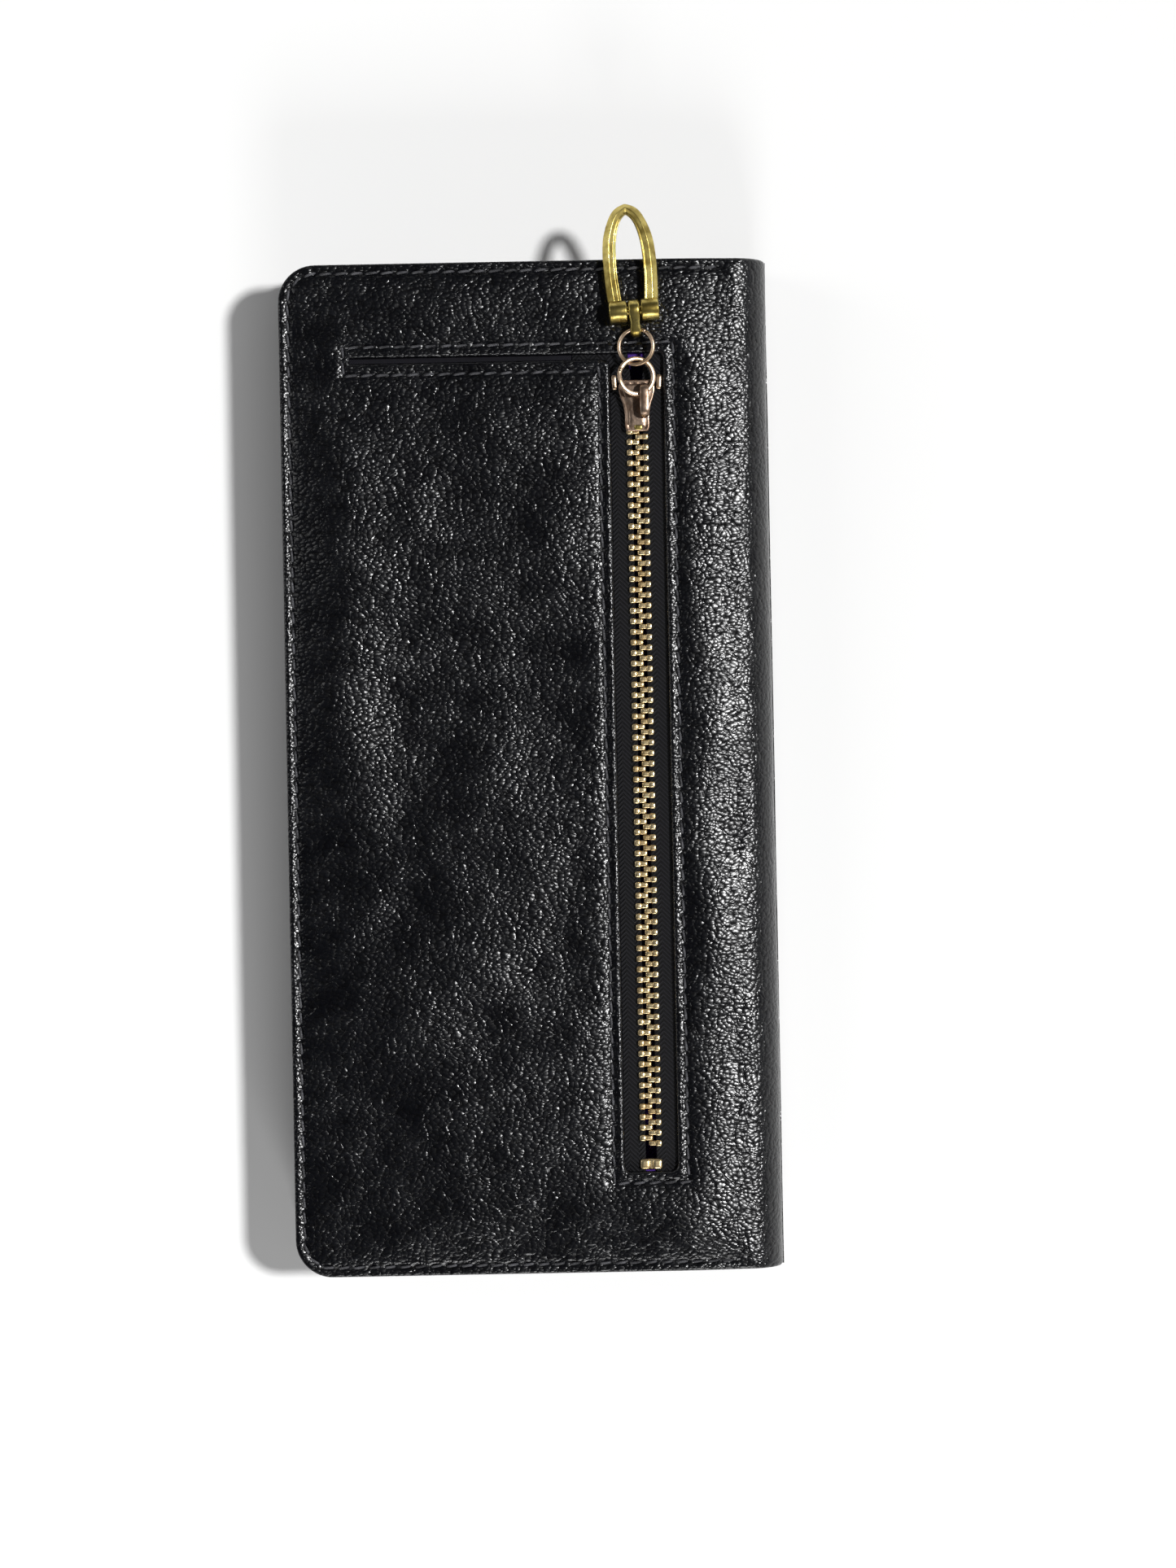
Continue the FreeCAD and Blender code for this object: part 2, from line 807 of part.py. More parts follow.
slider = new_body("slider_body")
slider_foot = "slider_high - slider_length"
outline = [
    ("zip_x - slider_mouth_half", "slider_high"),
    ("zip_x - slider_shoulder_half", "slider_high - mouth_slope"),
    ("zip_x - slider_shoulder_half", "slider_high - shoulder_reach"),
    ("zip_x - slider_tail_half", slider_foot),
    ("zip_x + slider_tail_half", slider_foot),
    ("zip_x + slider_shoulder_half", "slider_high - shoulder_reach"),
    ("zip_x + slider_shoulder_half", "slider_high - mouth_slope"),
    ("zip_x + slider_mouth_half", "slider_high"),
]
slab = draw(slider, "slider_outline", "XY_Plane", [outline], "plate_low_z")
pad(slider, slab, "slider_slab", "slider_height")
throat = [
    ("zip_x - channel_half", "slider_channel_low"),
    ("zip_x + channel_half", "slider_channel_low"),
    ("zip_x + channel_half", "tape_slot_low"),
    ("zip_x + tape_slot_half", "tape_slot_low"),
    ("zip_x + tape_slot_half", "tape_slot_high"),
    ("zip_x + channel_half", "tape_slot_high"),
    ("zip_x + channel_half", "slider_channel_high"),
    ("zip_x - channel_half", "slider_channel_high"),
    ("zip_x - channel_half", "tape_slot_high"),
    ("zip_x - tape_slot_half", "tape_slot_high"),
    ("zip_x - tape_slot_half", "tape_slot_low"),
    ("zip_x - channel_half", "tape_slot_low"),
]
throat_sketch = draw(slider, "slider_throat_section", "XZ_Plane", [throat])
doc.recompute()
solid_volume = slider.Shape.Volume
throat_cut = slider.newObject("PartDesign::Pocket", "slider_throat")
throat_cut.Profile = throat_sketch
throat_cut.Midplane = True
throat_cut.Type = "ThroughAll"
doc.recompute()
MOST_LEFT = 0.9
if slider.Shape.Volume > MOST_LEFT * solid_volume:
    raise RuntimeError("the slider throat was not cut")
diamond = [
    ("zip_x - diamond_half", "slider_high"),
    ("zip_x", "slider_high - diamond_length"),
    ("zip_x + diamond_half", "slider_high"),
]
diamond_sketch = draw(slider, "slider_diamond_outline", "XY_Plane", [diamond], "plate_low_z")
pad(slider, diamond_sketch, "slider_diamond", "slider_height")

bridge = new_body("slider_bridge")
bridge_side = [
    ("bridge_low", "slider_top_z"),
    ("bridge_low", "bridge_top_z", "bridge_round"),
    ("bridge_high", "bridge_top_z", "bridge_round"),
    ("bridge_high", "slider_top_z"),
    ("bridge_high - bridge_leg", "slider_top_z"),
    ("bridge_high - bridge_leg", "tunnel_top_z", "tunnel_round"),
    ("bridge_low + bridge_leg", "tunnel_top_z", "tunnel_round"),
    ("bridge_low + bridge_leg", "slider_top_z"),
]
bridge_sketch = draw(bridge, "slider_bridge_side", "YZ_Plane", [bridge_side])
pad(bridge, bridge_sketch, "slider_bridge_fin", "bridge_width", middle=True)
bridge.setExpression(".Placement.Base.x", bound("zip_x + bridge_shift"))

# ---------------------------------------------------------------- rings and puller


def placed(across, along, up, axis=(0, 0, 1), turn=0.0):
    """Placement at a point, turned about an axis in degrees."""
    rotation = FreeCAD.Rotation(FreeCAD.Vector(*axis), turn)
    return FreeCAD.Placement(FreeCAD.Vector(across, along, up), rotation)


def ring(label, wire, height, tilt):
    """Round wire ring lying nearly flat on the zip line."""
    torus = doc.addObject("Part::Torus", label)
    torus.Label = label
    torus.setExpression("Radius1", bound("ring_radius"))
    torus.setExpression("Radius2", bound(wire))
    torus.Placement = placed(value("zip_x"), value(height), value("ring_z"), (0, 1, 0), tilt)
    PARTS.append(torus)
    return torus


ring("lower_ring", "lower_wire", "lower_ring_y", value("ring_tilt"))
ring("upper_ring", "upper_wire", "upper_ring_y", -value("ring_tilt"))


def rod(label, radius, length, across, along, up):
    """Round bar along X centred on a point, sized by the sheet."""
    bar = doc.addObject("Part::Cylinder", label)
    bar.setExpression("Radius", bound(radius))
    bar.setExpression("Height", bound(length))
    start = value(across) - value(length) / 2
    bar.Placement = placed(start, value(along), value(up), (0, 1, 0), 90)
    return bar


def fused(label, shapes):
    """Union of shapes."""
    union = doc.addObject("Part::MultiFuse", label)
    union.Shapes = shapes
    union.Refine = True
    return union


def cut(label, base, tool):
    """One shape with another taken away."""
    left = doc.addObject("Part::Cut", label)
    left.Base = base
    left.Tool = tool
    return left


def leaned(thing):
    """Lean a puller piece sideways about the upper ring's hole and list it for export."""
    pivot = FreeCAD.Vector(value("zip_x"), value("eye_y"), 0)
    turn = FreeCAD.Rotation(FreeCAD.Vector(0, 0, 1), value("loop_lean"))
    lean = FreeCAD.Placement(FreeCAD.Vector(0, 0, 0), turn, pivot)
    thing.Placement = lean.multiply(thing.Placement)
    PARTS.append(thing)


eye_barrel = rod("eye_barrel", "barrel_radius", "eye_width", "zip_x", "pin_y", "pin_z")
eye_tip = rod("eye_tip", "eye_tip_radius", "eye_width", "zip_x", "eye_y", "ring_z")
eye_web = doc.addObject("Part::Box", "eye_web")
eye_web.setExpression("Length", bound("eye_width"))
eye_web.setExpression("Width", bound("pin_y - eye_y"))
eye_web.setExpression("Height", "2 * Sizes.eye_tip_radius")
eye_web.Placement = placed(
    value("zip_x - eye_half"), value("eye_y"), value("ring_z - eye_tip_radius")
)
pin_passage = rod("pin_passage", "pin_bore", "long_bore", "zip_x", "pin_y", "pin_z")
ring_passage = rod("ring_passage", "eye_hole", "long_bore", "zip_x", "eye_y", "ring_z")
eye_solid = fused("eye_solid", [eye_barrel, eye_tip, eye_web])
eye_holes = fused("eye_holes", [pin_passage, ring_passage])
leaned(cut("puller_eye", eye_solid, eye_holes))

arch = doc.addObject("PartDesign::Body", "loop_arch")
arch_side = (
    ("loop_base_half", "pin_y + loop_foot"),
    ("loop_belly_half", "pin_y + loop_belly_y"),
    ("loop_shoulder_half", "pin_y + loop_shoulder_y"),
    ("loop_brow_half", "pin_y + loop_brow_y"),
    ("loop_tip_half", "pin_y + loop_tip_y"),
)
gap_side = (
    ("gap_tip_half", "pin_y + gap_tip_y"),
    ("gap_brow_half", "pin_y + gap_brow_y"),
    ("gap_shoulder_half", "pin_y + gap_shoulder_y"),
    ("gap_belly_half", "pin_y + gap_belly_y"),
    ("gap_base_half", "pin_y + loop_foot"),
)
right_outer = [(f"zip_x + {half}", height) for half, height in arch_side]
left_outer = [(f"zip_x - {half}", height) for half, height in reversed(arch_side)]
left_inner = [(f"zip_x - {half}", height) for half, height in reversed(gap_side)]
right_inner = [(f"zip_x + {half}", height) for half, height in gap_side]
arch_outline = right_outer + left_outer + left_inner + right_inner
arch_sketch = draw(arch, "loop_arch_outline", "XY_Plane", [arch_outline], "loop_z")
pad(arch, arch_sketch, "loop_arch_bar", "loop_thickness")

knuckle_shift = (value("loop_base_half") + value("knuckle_inner")) / 2
knuckles = []
for side, shift in (("left", -knuckle_shift), ("right", knuckle_shift)):
    bar = rod(f"{side}_knuckle", "barrel_radius", "knuckle_length", "zip_x", "pin_y", "pin_z")
    bar.Placement.Base.x += shift
    knuckles.append(bar)
loop_solid = fused("loop_solid", [arch] + knuckles)
loop_bore = rod("loop_bore", "pin_radius", "long_bore", "zip_x", "pin_y", "pin_z")
leaned(cut("puller_loop", loop_solid, loop_bore))
leaned(rod("puller_pin", "pin_radius", "pin_length", "zip_x", "pin_y", "pin_z"))

# ---------------------------------------------------------------- checks and files

doc.recompute()
for item in doc.Objects:
    if "Invalid" in item.State or "Error" in item.State:
        raise RuntimeError(f"{item.Label} did not compute: {item.State}")
for item in PARTS:
    if item.Shape.isNull() or not item.Shape.isValid():
        raise RuntimeError(f"{item.Label} has no valid shape")

os.makedirs("parts", exist_ok=True)
for item in PARTS:
    item.Shape.exportStep(f"parts/{item.Label}.step")
print(f"{len(PARTS)} parts written")
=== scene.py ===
import math

import bpy
import numpy as np
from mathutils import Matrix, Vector, geometry, noise


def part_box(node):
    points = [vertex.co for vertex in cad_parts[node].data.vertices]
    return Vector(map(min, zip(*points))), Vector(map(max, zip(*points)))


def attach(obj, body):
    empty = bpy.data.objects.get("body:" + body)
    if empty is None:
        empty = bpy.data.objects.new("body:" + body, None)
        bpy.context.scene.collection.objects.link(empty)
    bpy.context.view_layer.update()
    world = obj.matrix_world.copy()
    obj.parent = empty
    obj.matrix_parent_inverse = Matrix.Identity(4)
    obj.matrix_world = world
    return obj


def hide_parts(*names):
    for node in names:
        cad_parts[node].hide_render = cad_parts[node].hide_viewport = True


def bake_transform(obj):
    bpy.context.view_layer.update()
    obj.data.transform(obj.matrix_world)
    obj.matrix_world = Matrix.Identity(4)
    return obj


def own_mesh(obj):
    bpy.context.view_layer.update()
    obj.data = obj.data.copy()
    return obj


# A closed long wallet lying on its back cover, zip face up. Lengths here are in millimetres in the
# CAD frame (X to the spine, Y up the long side, Z up) and become metres when a mesh is made. The
# materials, the camera and the lights are set in metres.

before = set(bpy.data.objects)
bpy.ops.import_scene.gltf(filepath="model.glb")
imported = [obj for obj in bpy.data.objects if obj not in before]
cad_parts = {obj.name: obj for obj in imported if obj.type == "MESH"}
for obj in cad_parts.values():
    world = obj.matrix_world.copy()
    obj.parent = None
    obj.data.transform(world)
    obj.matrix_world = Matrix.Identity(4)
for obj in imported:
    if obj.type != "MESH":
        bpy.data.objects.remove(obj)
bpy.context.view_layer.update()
MM = 0.001


def low(node):
    """Lowest corner of a CAD node in millimetres."""
    return np.array(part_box(node)[0]) / MM


def high(node):
    """Highest corner of a CAD node in millimetres."""
    return np.array(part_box(node)[1]) / MM


# ------------------------------------------------------------------ sizes read from the frame

TOP = high("front_cover_leather")[2]
COVER = TOP - low("front_cover_leather")[2]
EDGE = high("spine_leather")[0]
REACH = high("front_cover_leather")[1]
FOLD = high("front_cover_leather")[0]
BEND = EDGE - FOLD
INNER = high("front_pocket_panel")[0]
CORNER = 7.0
ZIP_X = (low("slider_body")[0] + high("slider_body")[0]) / 2
# the zip's window and the slit that runs left from its top
WINDOW_HALF = 4.9
WINDOW_LOW = -76.2
WINDOW_HIGH = 77.3
SLIT_LOW = 76.3
SLIT_LEFT = -32.8
# the puller leans about the far side of the upper ring; its pin lies across, above the cover
LEAN = math.radians(4)
LEAN_Y = 81.55
RING_Z = 21.7
PIN_Y = 85.0
PIN_Z = 22.15

# ------------------------------------------------------------------ node helpers


class Shader:
    """A material and short ways to add nodes to it."""

    def __init__(self, name, **values):
        self.material = bpy.data.materials.new(name)
        self.material.use_nodes = True
        self.nodes = self.material.node_tree.nodes
        self.links = self.material.node_tree.links
        self.surface = self.nodes["Principled BSDF"]
        for key, value in values.items():
            self.surface.inputs[key.replace("_", " ")].default_value = value

    def add(self, kind, inputs=(), **settings):
        """New node with settings, and inputs given as {socket: value or output}."""
        node = self.nodes.new(kind)
        for key, value in settings.items():
            setattr(node, key, value)
        for key, value in dict(inputs).items():
            self.feed(node.inputs[key], value)
        return node

    def feed(self, socket, value):
        """Links an output to a socket, or sets its value."""
        if isinstance(value, bpy.types.NodeSocket):
            self.links.new(value, socket)
        else:
            socket.default_value = value

    def math(self, operation, *values):
        node = self.add("ShaderNodeMath", operation=operation)
        for socket, value in zip(node.inputs, values):
            self.feed(socket, value)
        return node.outputs[0]

    def rest(self):
        """Where a point was at rest, in metres, so that a pattern stays on a bent piece."""
        return self.add("ShaderNodeAttribute", attribute_name="rest").outputs["Vector"]

    def place(self):
        return self.add("ShaderNodeTexCoord").outputs["Object"]

    def stretched(self, vector, scale):
        inputs = {"Vector": vector, "Scale": scale}
        return self.add("ShaderNodeMapping", inputs).outputs["Vector"]

    def noise(self, vector, size, detail=3.0, rough=0.5):
        """Noise whose features are about a size in metres."""
        inputs = {"Vector": vector, "Scale": 1 / size, "Detail": detail, "Roughness": rough}
        return self.add("ShaderNodeTexNoise", inputs)

    def ramp(self, value, *stops):
        node = self.add("ShaderNodeValToRGB", {"Fac": value})
        elements = node.color_ramp.elements
        while len(elements) < len(stops):
            elements.new(0.5)
        for element, (position, colour) in zip(elements, stops):
            element.position = position
            element.color = (*colour, 1.0)
        return node.outputs["Color"]

    def between(self, value, *limits):
        """Maps a value from one range to another: from low, from high, to low, to high."""
        node = self.add("ShaderNodeMapRange", {"Value": value})
        for key, number in zip(("From Min", "From Max", "To Min", "To Max"), limits):
            node.inputs[key].default_value = number
        return node.outputs["Result"]

    def axes(self, vector):
        return self.add("ShaderNodeSeparateXYZ", {"Vector": vector}).outputs

    def waves(self, value, pitch):
        """Sine waves along a value, one to each pitch in metres."""
        return self.math("SINE", self.math("MULTIPLY", value, 2 * math.pi / pitch))

    def bump(self, height, depth, strength=1.0):
        """Bump whose full height is a depth in metres."""
        inputs = {"Height": height, "Distance": depth, "Strength": strength}
        return self.add("ShaderNodeBump", inputs).outputs["Normal"]

    def wire(self, key, value):
        self.feed(self.surface.inputs[key], value)


def leather(name, dark, light, rough, grain=0.00080, depth=0.00009, coat=0.0):
    """Black pebble-grained leather: domed cells with creases, fine wrinkles, glossy crests; its
    colour is painted darker in the creases and lighter on the crests, as painted shade and painted
    light.
    """
    m = Shader(name, Coat_Weight=coat, Coat_Roughness=0.16)
    warp_size, warp_push = 0.0035, 0.0014
    fine_size, broad_size = 0.00035, 0.006
    crease_size = grain * 4.5
    rest = m.rest()
    warp = m.noise(rest, warp_size, 2.0)
    shift = m.add("ShaderNodeVectorMath", {0: warp.outputs["Color"], 1: (0.5, 0.5, 0.5)},
                  operation="SUBTRACT")
    push = m.add("ShaderNodeVectorMath", {0: shift.outputs[0], "Scale": warp_push},
                 operation="SCALE")
    bent = m.add("ShaderNodeVectorMath", {0: rest, 1: push.outputs[0]}, operation="ADD").outputs[0]
    bent = m.stretched(bent, (0.85, 1.2, 1.0))
    cells = m.add("ShaderNodeTexVoronoi", {"Vector": bent, "Scale": 1 / grain})
    spread = cells.outputs["Distance"]
    pebble = m.math("SUBTRACT", 1.0, m.math("MULTIPLY", m.math("MULTIPLY", spread, spread), 1.7))
    fine = m.noise(rest, fine_size, 3.0, 0.6).outputs["Fac"]
    broad = m.noise(rest, broad_size, 3.0, 0.55).outputs["Fac"]
    amount = m.between(broad, 0.3, 0.7, 0.6, 1.1)
    height = m.math("MULTIPLY", pebble, amount)
    height = m.math("ADD", height, m.math("MULTIPLY", fine, 0.15))
    creases = m.add("ShaderNodeTexVoronoi", {"Vector": bent, "Scale": 1 / crease_size},
                    feature="DISTANCE_TO_EDGE")
    crease = m.between(creases.outputs["Distance"], 0.0, 0.07, 0.0, 1.0)
    height = m.math("ADD", height, m.math("MULTIPLY", crease, 0.35))
    normal = m.bump(height, depth)
    m.wire("Normal", normal)
    m.wire("Coat Normal", normal)
    # base colour taken from the bump height: painted shade down in the creases and painted light on
    # the crests
    painted_crease_shade = m.ramp(m.math("MULTIPLY", pebble, amount), (0.0, dark), (1.0, light))
    m.wire("Base Color", painted_crease_shade)
    gloss = m.math("ADD", m.between(broad, 0.25, 0.75, rough - 0.05, rough + 0.06),
                   m.math("MULTIPLY", m.math("SUBTRACT", 0.5, fine), 0.1))
    m.wire("Roughness", gloss)
    return m.material


def cloth(name, dark, light, pitch=0.00045):
    """Plain-woven lining."""
    m = Shader(name, Roughness=0.7, Specular_IOR_Level=0.2)
    rest = m.rest()
    parts = m.axes(rest)
    weft = m.waves(parts["X"], pitch)
    warp = m.waves(m.math("ADD", parts["Y"], parts["Z"]), pitch)
    weave = m.math("MULTIPLY", weft, warp)
    fuzz = m.noise(rest, 0.0006, 3.0).outputs["Fac"]
    height = m.math("ADD", m.math("MULTIPLY", weave, 0.35), fuzz)
    m.wire("Normal", m.bump(height, 0.00008))
    broad = m.noise(rest, 0.012, 3.0).outputs["Fac"]
    mix = m.math("ADD", m.math("MULTIPLY", weave, 0.2), broad)
    m.wire("Base Color", m.ramp(mix, (0.2, dark), (0.8, light)))
    return m.material


def tape_weave(name):
    """Black herringbone zip tape: diagonal ribs that turn back every few threads."""
    m = Shader(name, Roughness=0.7, Specular_IOR_Level=0.25)
    rest = m.rest()
    parts = m.axes(rest)
    fold = m.math("PINGPONG", parts["X"], 0.0017)
    rib = m.waves(m.math("ADD", parts["Y"], fold), 0.00085)
    thread = m.waves(m.math("SUBTRACT", fold, parts["Y"]), 0.00036)
    fuzz = m.noise(rest, 0.0004, 3.0).outputs["Fac"]
    height = m.math("ADD", m.math("ADD", rib, m.math("MULTIPLY", thread, 0.3)), fuzz)
    m.wire("Normal", m.bump(height, 0.00009))
    m.wire("Base Color", m.ramp(m.between(height, -1.0, 2.0, 0.0, 1.0),
                                (0.1, (0.001, 0.001, 0.0015)), (0.9, (0.013, 0.013, 0.016))))
    return m.material


def metal(name, bright, worn, rough, patches=0.003, scratch=0.5):
    """Plated metal with duller worn patches and fine scratches."""
    m = Shader(name, Metallic=1.0)
    rest = m.rest()
    broad = m.noise(rest, patches, 4.0, 0.6).outputs["Fac"]
    fine = m.noise(m.stretched(rest, (1.0, 0.25, 1.0)), 0.00025, 3.0, 0.6).outputs["Fac"]
    m.wire("Base Color", m.ramp(broad, (0.38, worn), (0.62, bright)))
    m.wire("Roughness", m.math("ADD", m.between(broad, 0.3, 0.7, rough + 0.14, rough),
                               m.math("MULTIPLY", fine, 0.08)))
    dents = m.noise(rest, 0.0011, 2.0).outputs["Fac"]
    height = m.math("ADD", m.math("MULTIPLY", fine, 0.3 * scratch), dents)
    m.wire("Normal", m.bump(height, 0.00005, scratch))
    return m.material


def thread_finish(name, dark, light):
    """Waxed twisted sewing thread."""
    m = Shader(name, Roughness=0.42)
    rest = m.rest()
    parts = m.axes(rest)
    along = m.math("ADD", m.math("ADD", parts["X"], parts["Y"]), parts["Z"])
    m.wire("Normal", m.bump(m.waves(along, 0.0004), 0.00006))
    tone = m.noise(rest, 0.002, 3.0).outputs["Fac"]
    m.wire("Base Color", m.ramp(tone, (0.35, dark), (0.65, light)))
    return m.material


def board_finish(name, own):
    """Grey-brown fibre board, hidden between the layers."""
    m = Shader(name, Roughness=0.85)
    place = m.rest() if own else m.place()
    grain = m.noise(place, 0.0012, 5.0, 0.7).outputs["Fac"]
    m.wire("Base Color", m.ramp(grain, (0.3, (0.16, 0.14, 0.12)), (0.7, (0.3, 0.27, 0.23))))
    m.wire("Normal", m.bump(grain, 0.0001))
    return m.material


OUTER = leather("outer_leather_finish", (0.0005, 0.0005, 0.001), (0.002, 0.0024, 0.004), 0.26)
INNER_HIDE = leather("inner_leather_finish", (0.002, 0.002, 0.003), (0.009, 0.009, 0.011), 0.42,
                     grain=0.0006, depth=0.00009, coat=0.15)
LINING = cloth("lining_finish", (0.002, 0.002, 0.003), (0.007, 0.006, 0.012))
VIOLET = cloth("violet_lining_finish", (0.03, 0.008, 0.11), (0.10, 0.035, 0.36))
TAPE = tape_weave("zip_tape_finish")
BRASS = metal("zip_brass_finish", (0.95, 0.78, 0.47), (0.55, 0.40, 0.20), 0.22)
ANTIQUE = metal("antique_finish", (0.50, 0.37, 0.28), (0.20, 0.13, 0.09), 0.25, patches=0.002,
                scratch=0.8)
RINGS = metal("ring_finish", (0.78, 0.60, 0.44), (0.42, 0.29, 0.18), 0.26)
GOLD = metal("puller_gold_finish", (0.64, 0.52, 0.17), (0.27, 0.2, 0.05), 0.2, scratch=0.7)
THREAD = thread_finish("thread_finish", (0.02, 0.02, 0.023), (0.10, 0.10, 0.11))
BOARD = board_finish("board_finish", own=False)
BOARD_OWN = board_finish("spine_board_finish", own=True)

# ------------------------------------------------------------------ mesh helpers


def placed(name, data):
    """New object in the scene."""
    thing = bpy.data.objects.new(name, data)
    bpy.context.scene.collection.objects.link(thing)
    return thing


def make(name, points, faces, material, body, nodes=(), sharp=None):
    """Mesh piece from millimetre points, riding on a body unless it is None."""
    mesh = bpy.data.meshes.new(name)
    points = np.asarray(points, float) * MM
    mesh.from_pydata(points.tolist(), [], [list(map(int, face)) for face in faces])
    rest = mesh.attributes.new("rest", "FLOAT_VECTOR", "POINT")
    rest.data.foreach_set("vector", points.astype(np.float32).ravel())
    mesh.polygons.foreach_set("use_smooth", [True] * len(mesh.polygons))
    if sharp is not None:
        for edge in mesh.edges:
            if sharp[edge.vertices[0]] and sharp[edge.vertices[1]]:
                edge.use_edge_sharp = True
    mesh.materials.append(material)
    mesh.update()
    piece = placed(name, mesh)
    if nodes:
        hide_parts(*nodes)
    if body:
        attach(piece, body)
    return piece


def joined(parts):
    """Several (points, faces) lists as one."""
    points = []
    faces = []
    count = 0
    for some_points, some_faces in parts:
        points.append(np.asarray(some_points, float))
        faces += [[index + count for index in face] for face in some_faces]
        count += len(some_points)
    return np.vstack(points), faces


def banded(rows, wide, inward=False, looped=False, ends=True):
    """Faces between rows of points, each row a closed ring of the same count.

    inward turns the faces the other way; looped joins the last row to the first; ends shuts the
    two end rows of a run that isn't looped.
    """
    faces = []
    for row in range(rows if looped else rows - 1):
        here = row * wide
        there = (row + 1) % rows * wide
        for k in range(wide):
            other = (k + 1) % wide
            if inward:
                faces.append((here + k, there + k, there + other, here + other))
            else:
                faces.append((here + k, here + other, there + other, there + k))
    if ends and not looped:
        turn = 1 if inward else -1
        faces.append(tuple(range(wide))[::turn])
        faces.append(tuple(range((rows - 1) * wide, rows * wide))[::-turn])
    return faces


def unit(vector):
    length = np.linalg.norm(vector)
    return vector / length if length > 1e-9 else vector


def rounded_loop(corners, step=1.5):
    """Closed outline with corners (x, y) or (x, y, radius), filled in to an even step."""
    knots = []
    count = len(corners)
    for index, corner in enumerate(corners):
        here = np.array(corner[:2], float)
        radius = corner[2] if len(corner) > 2 else 0
        if not radius:
            knots.append(here)
            continue
        back = unit(np.array(corners[index - 1][:2], float) - here)
        ahead = unit(np.array(corners[(index + 1) % count][:2], float) - here)
        half = math.acos(max(-1.0, min(1.0, back @ ahead))) / 2
        centre = here + unit(back + ahead) * radius / math.sin(half)
        start = here + back * radius / math.tan(half) - centre
        end = here + ahead * radius / math.tan(half) - centre
        first = math.atan2(start[1], start[0])
        sweep = (math.atan2(end[1], end[0]) - first + math.pi) % (2 * math.pi) - math.pi
        parts = max(4, math.ceil(abs(sweep) * radius / (0.6 * step)))
        for part in range(parts + 1):
            angle = first + sweep * part / parts
            knots.append(centre + radius * np.array((math.cos(angle), math.sin(angle))))
    return filled(knots, step, closed=True)


def filled(knots, step, closed=False):
    """Polyline with its long runs divided to an even step."""
    points = []
    last = len(knots) if closed else len(knots) - 1
    for index in range(last):
        start = np.array(knots[index], float)
        end = np.array(knots[(index + 1) % len(knots)], float)
        length = np.linalg.norm(end - start)
        if length < 1e-6:
            continue
        parts = max(1, math.ceil(length / step - 1e-6))
        points += [start + (end - start) * part / parts for part in range(parts)]
    if not closed:
        points.append(np.array(knots[-1], float))
    return np.array(points)


def softened(line, times):
    """Open polyline with its corners eased and its two ends kept."""
    for _ in range(times):
        middle = (line[:-2] + 2 * line[1:-1] + line[2:]) / 4
        line = np.vstack((line[:1], middle, line[-1:]))
    return line


def signed_area(loop):
    x, y = loop[:, 0], loop[:, 1]
    return 0.5 * float(np.sum(x * np.roll(y, -1) - np.roll(x, -1) * y))


def inset(loop, distance):
    """Loop moved to its left by a distance; the distance may differ from point to point."""
    ahead = np.roll(loop, -1, 0) - loop
    ahead /= np.linalg.norm(ahead, axis=1)[:, None]
    left = np.stack((-ahead[:, 1], ahead[:, 0]), 1)
    before = np.roll(left, 1, 0)
    mitre = (left + before) / (1 + np.sum(left * before, 1))[:, None]
    return loop + mitre * np.reshape(distance, (-1, 1))


def inside(points, loop):
    """Which points lie inside a closed loop."""
    hit = np.zeros(len(points), bool)
    x, y = points[:, 0], points[:, 1]
    for (x1, y1), (x2, y2) in zip(loop, np.roll(loop, -1, 0)):
        crosses = (y1 > y) != (y2 > y)
        if crosses.any():
            hit ^= crosses & (x < (x2 - x1) * (y - y1) / (y2 - y1 + 1e-12) + x1)
    return hit


def distance_to(points, line):
    """Distance of each point from an open or closed polyline."""
    best = np.full(len(points), 1e9)
    for start, end in zip(line[:-1], line[1:]):
        run = end - start
        share = np.clip(((points - start) @ run) / max(run @ run, 1e-9), 0, 1)
        gap = points - start - share[:, None] * run
        best = np.minimum(best, np.hypot(gap[:, 0], gap[:, 1]))
    return best


def beside(line, offsets, step):
    """Points in rows along a polyline, for finer mesh next to a sewn channel."""
    even = filled(line, step)
    ahead = np.gradient(even, axis=0)
    ahead /= np.linalg.norm(ahead, axis=1)[:, None] + 1e-12
    left = np.stack((-ahead[:, 1], ahead[:, 0]), 1)
    return np.vstack([even + left * offset for offset in offsets])


ROW_CLEAR = 0.35
BLOCK = 400


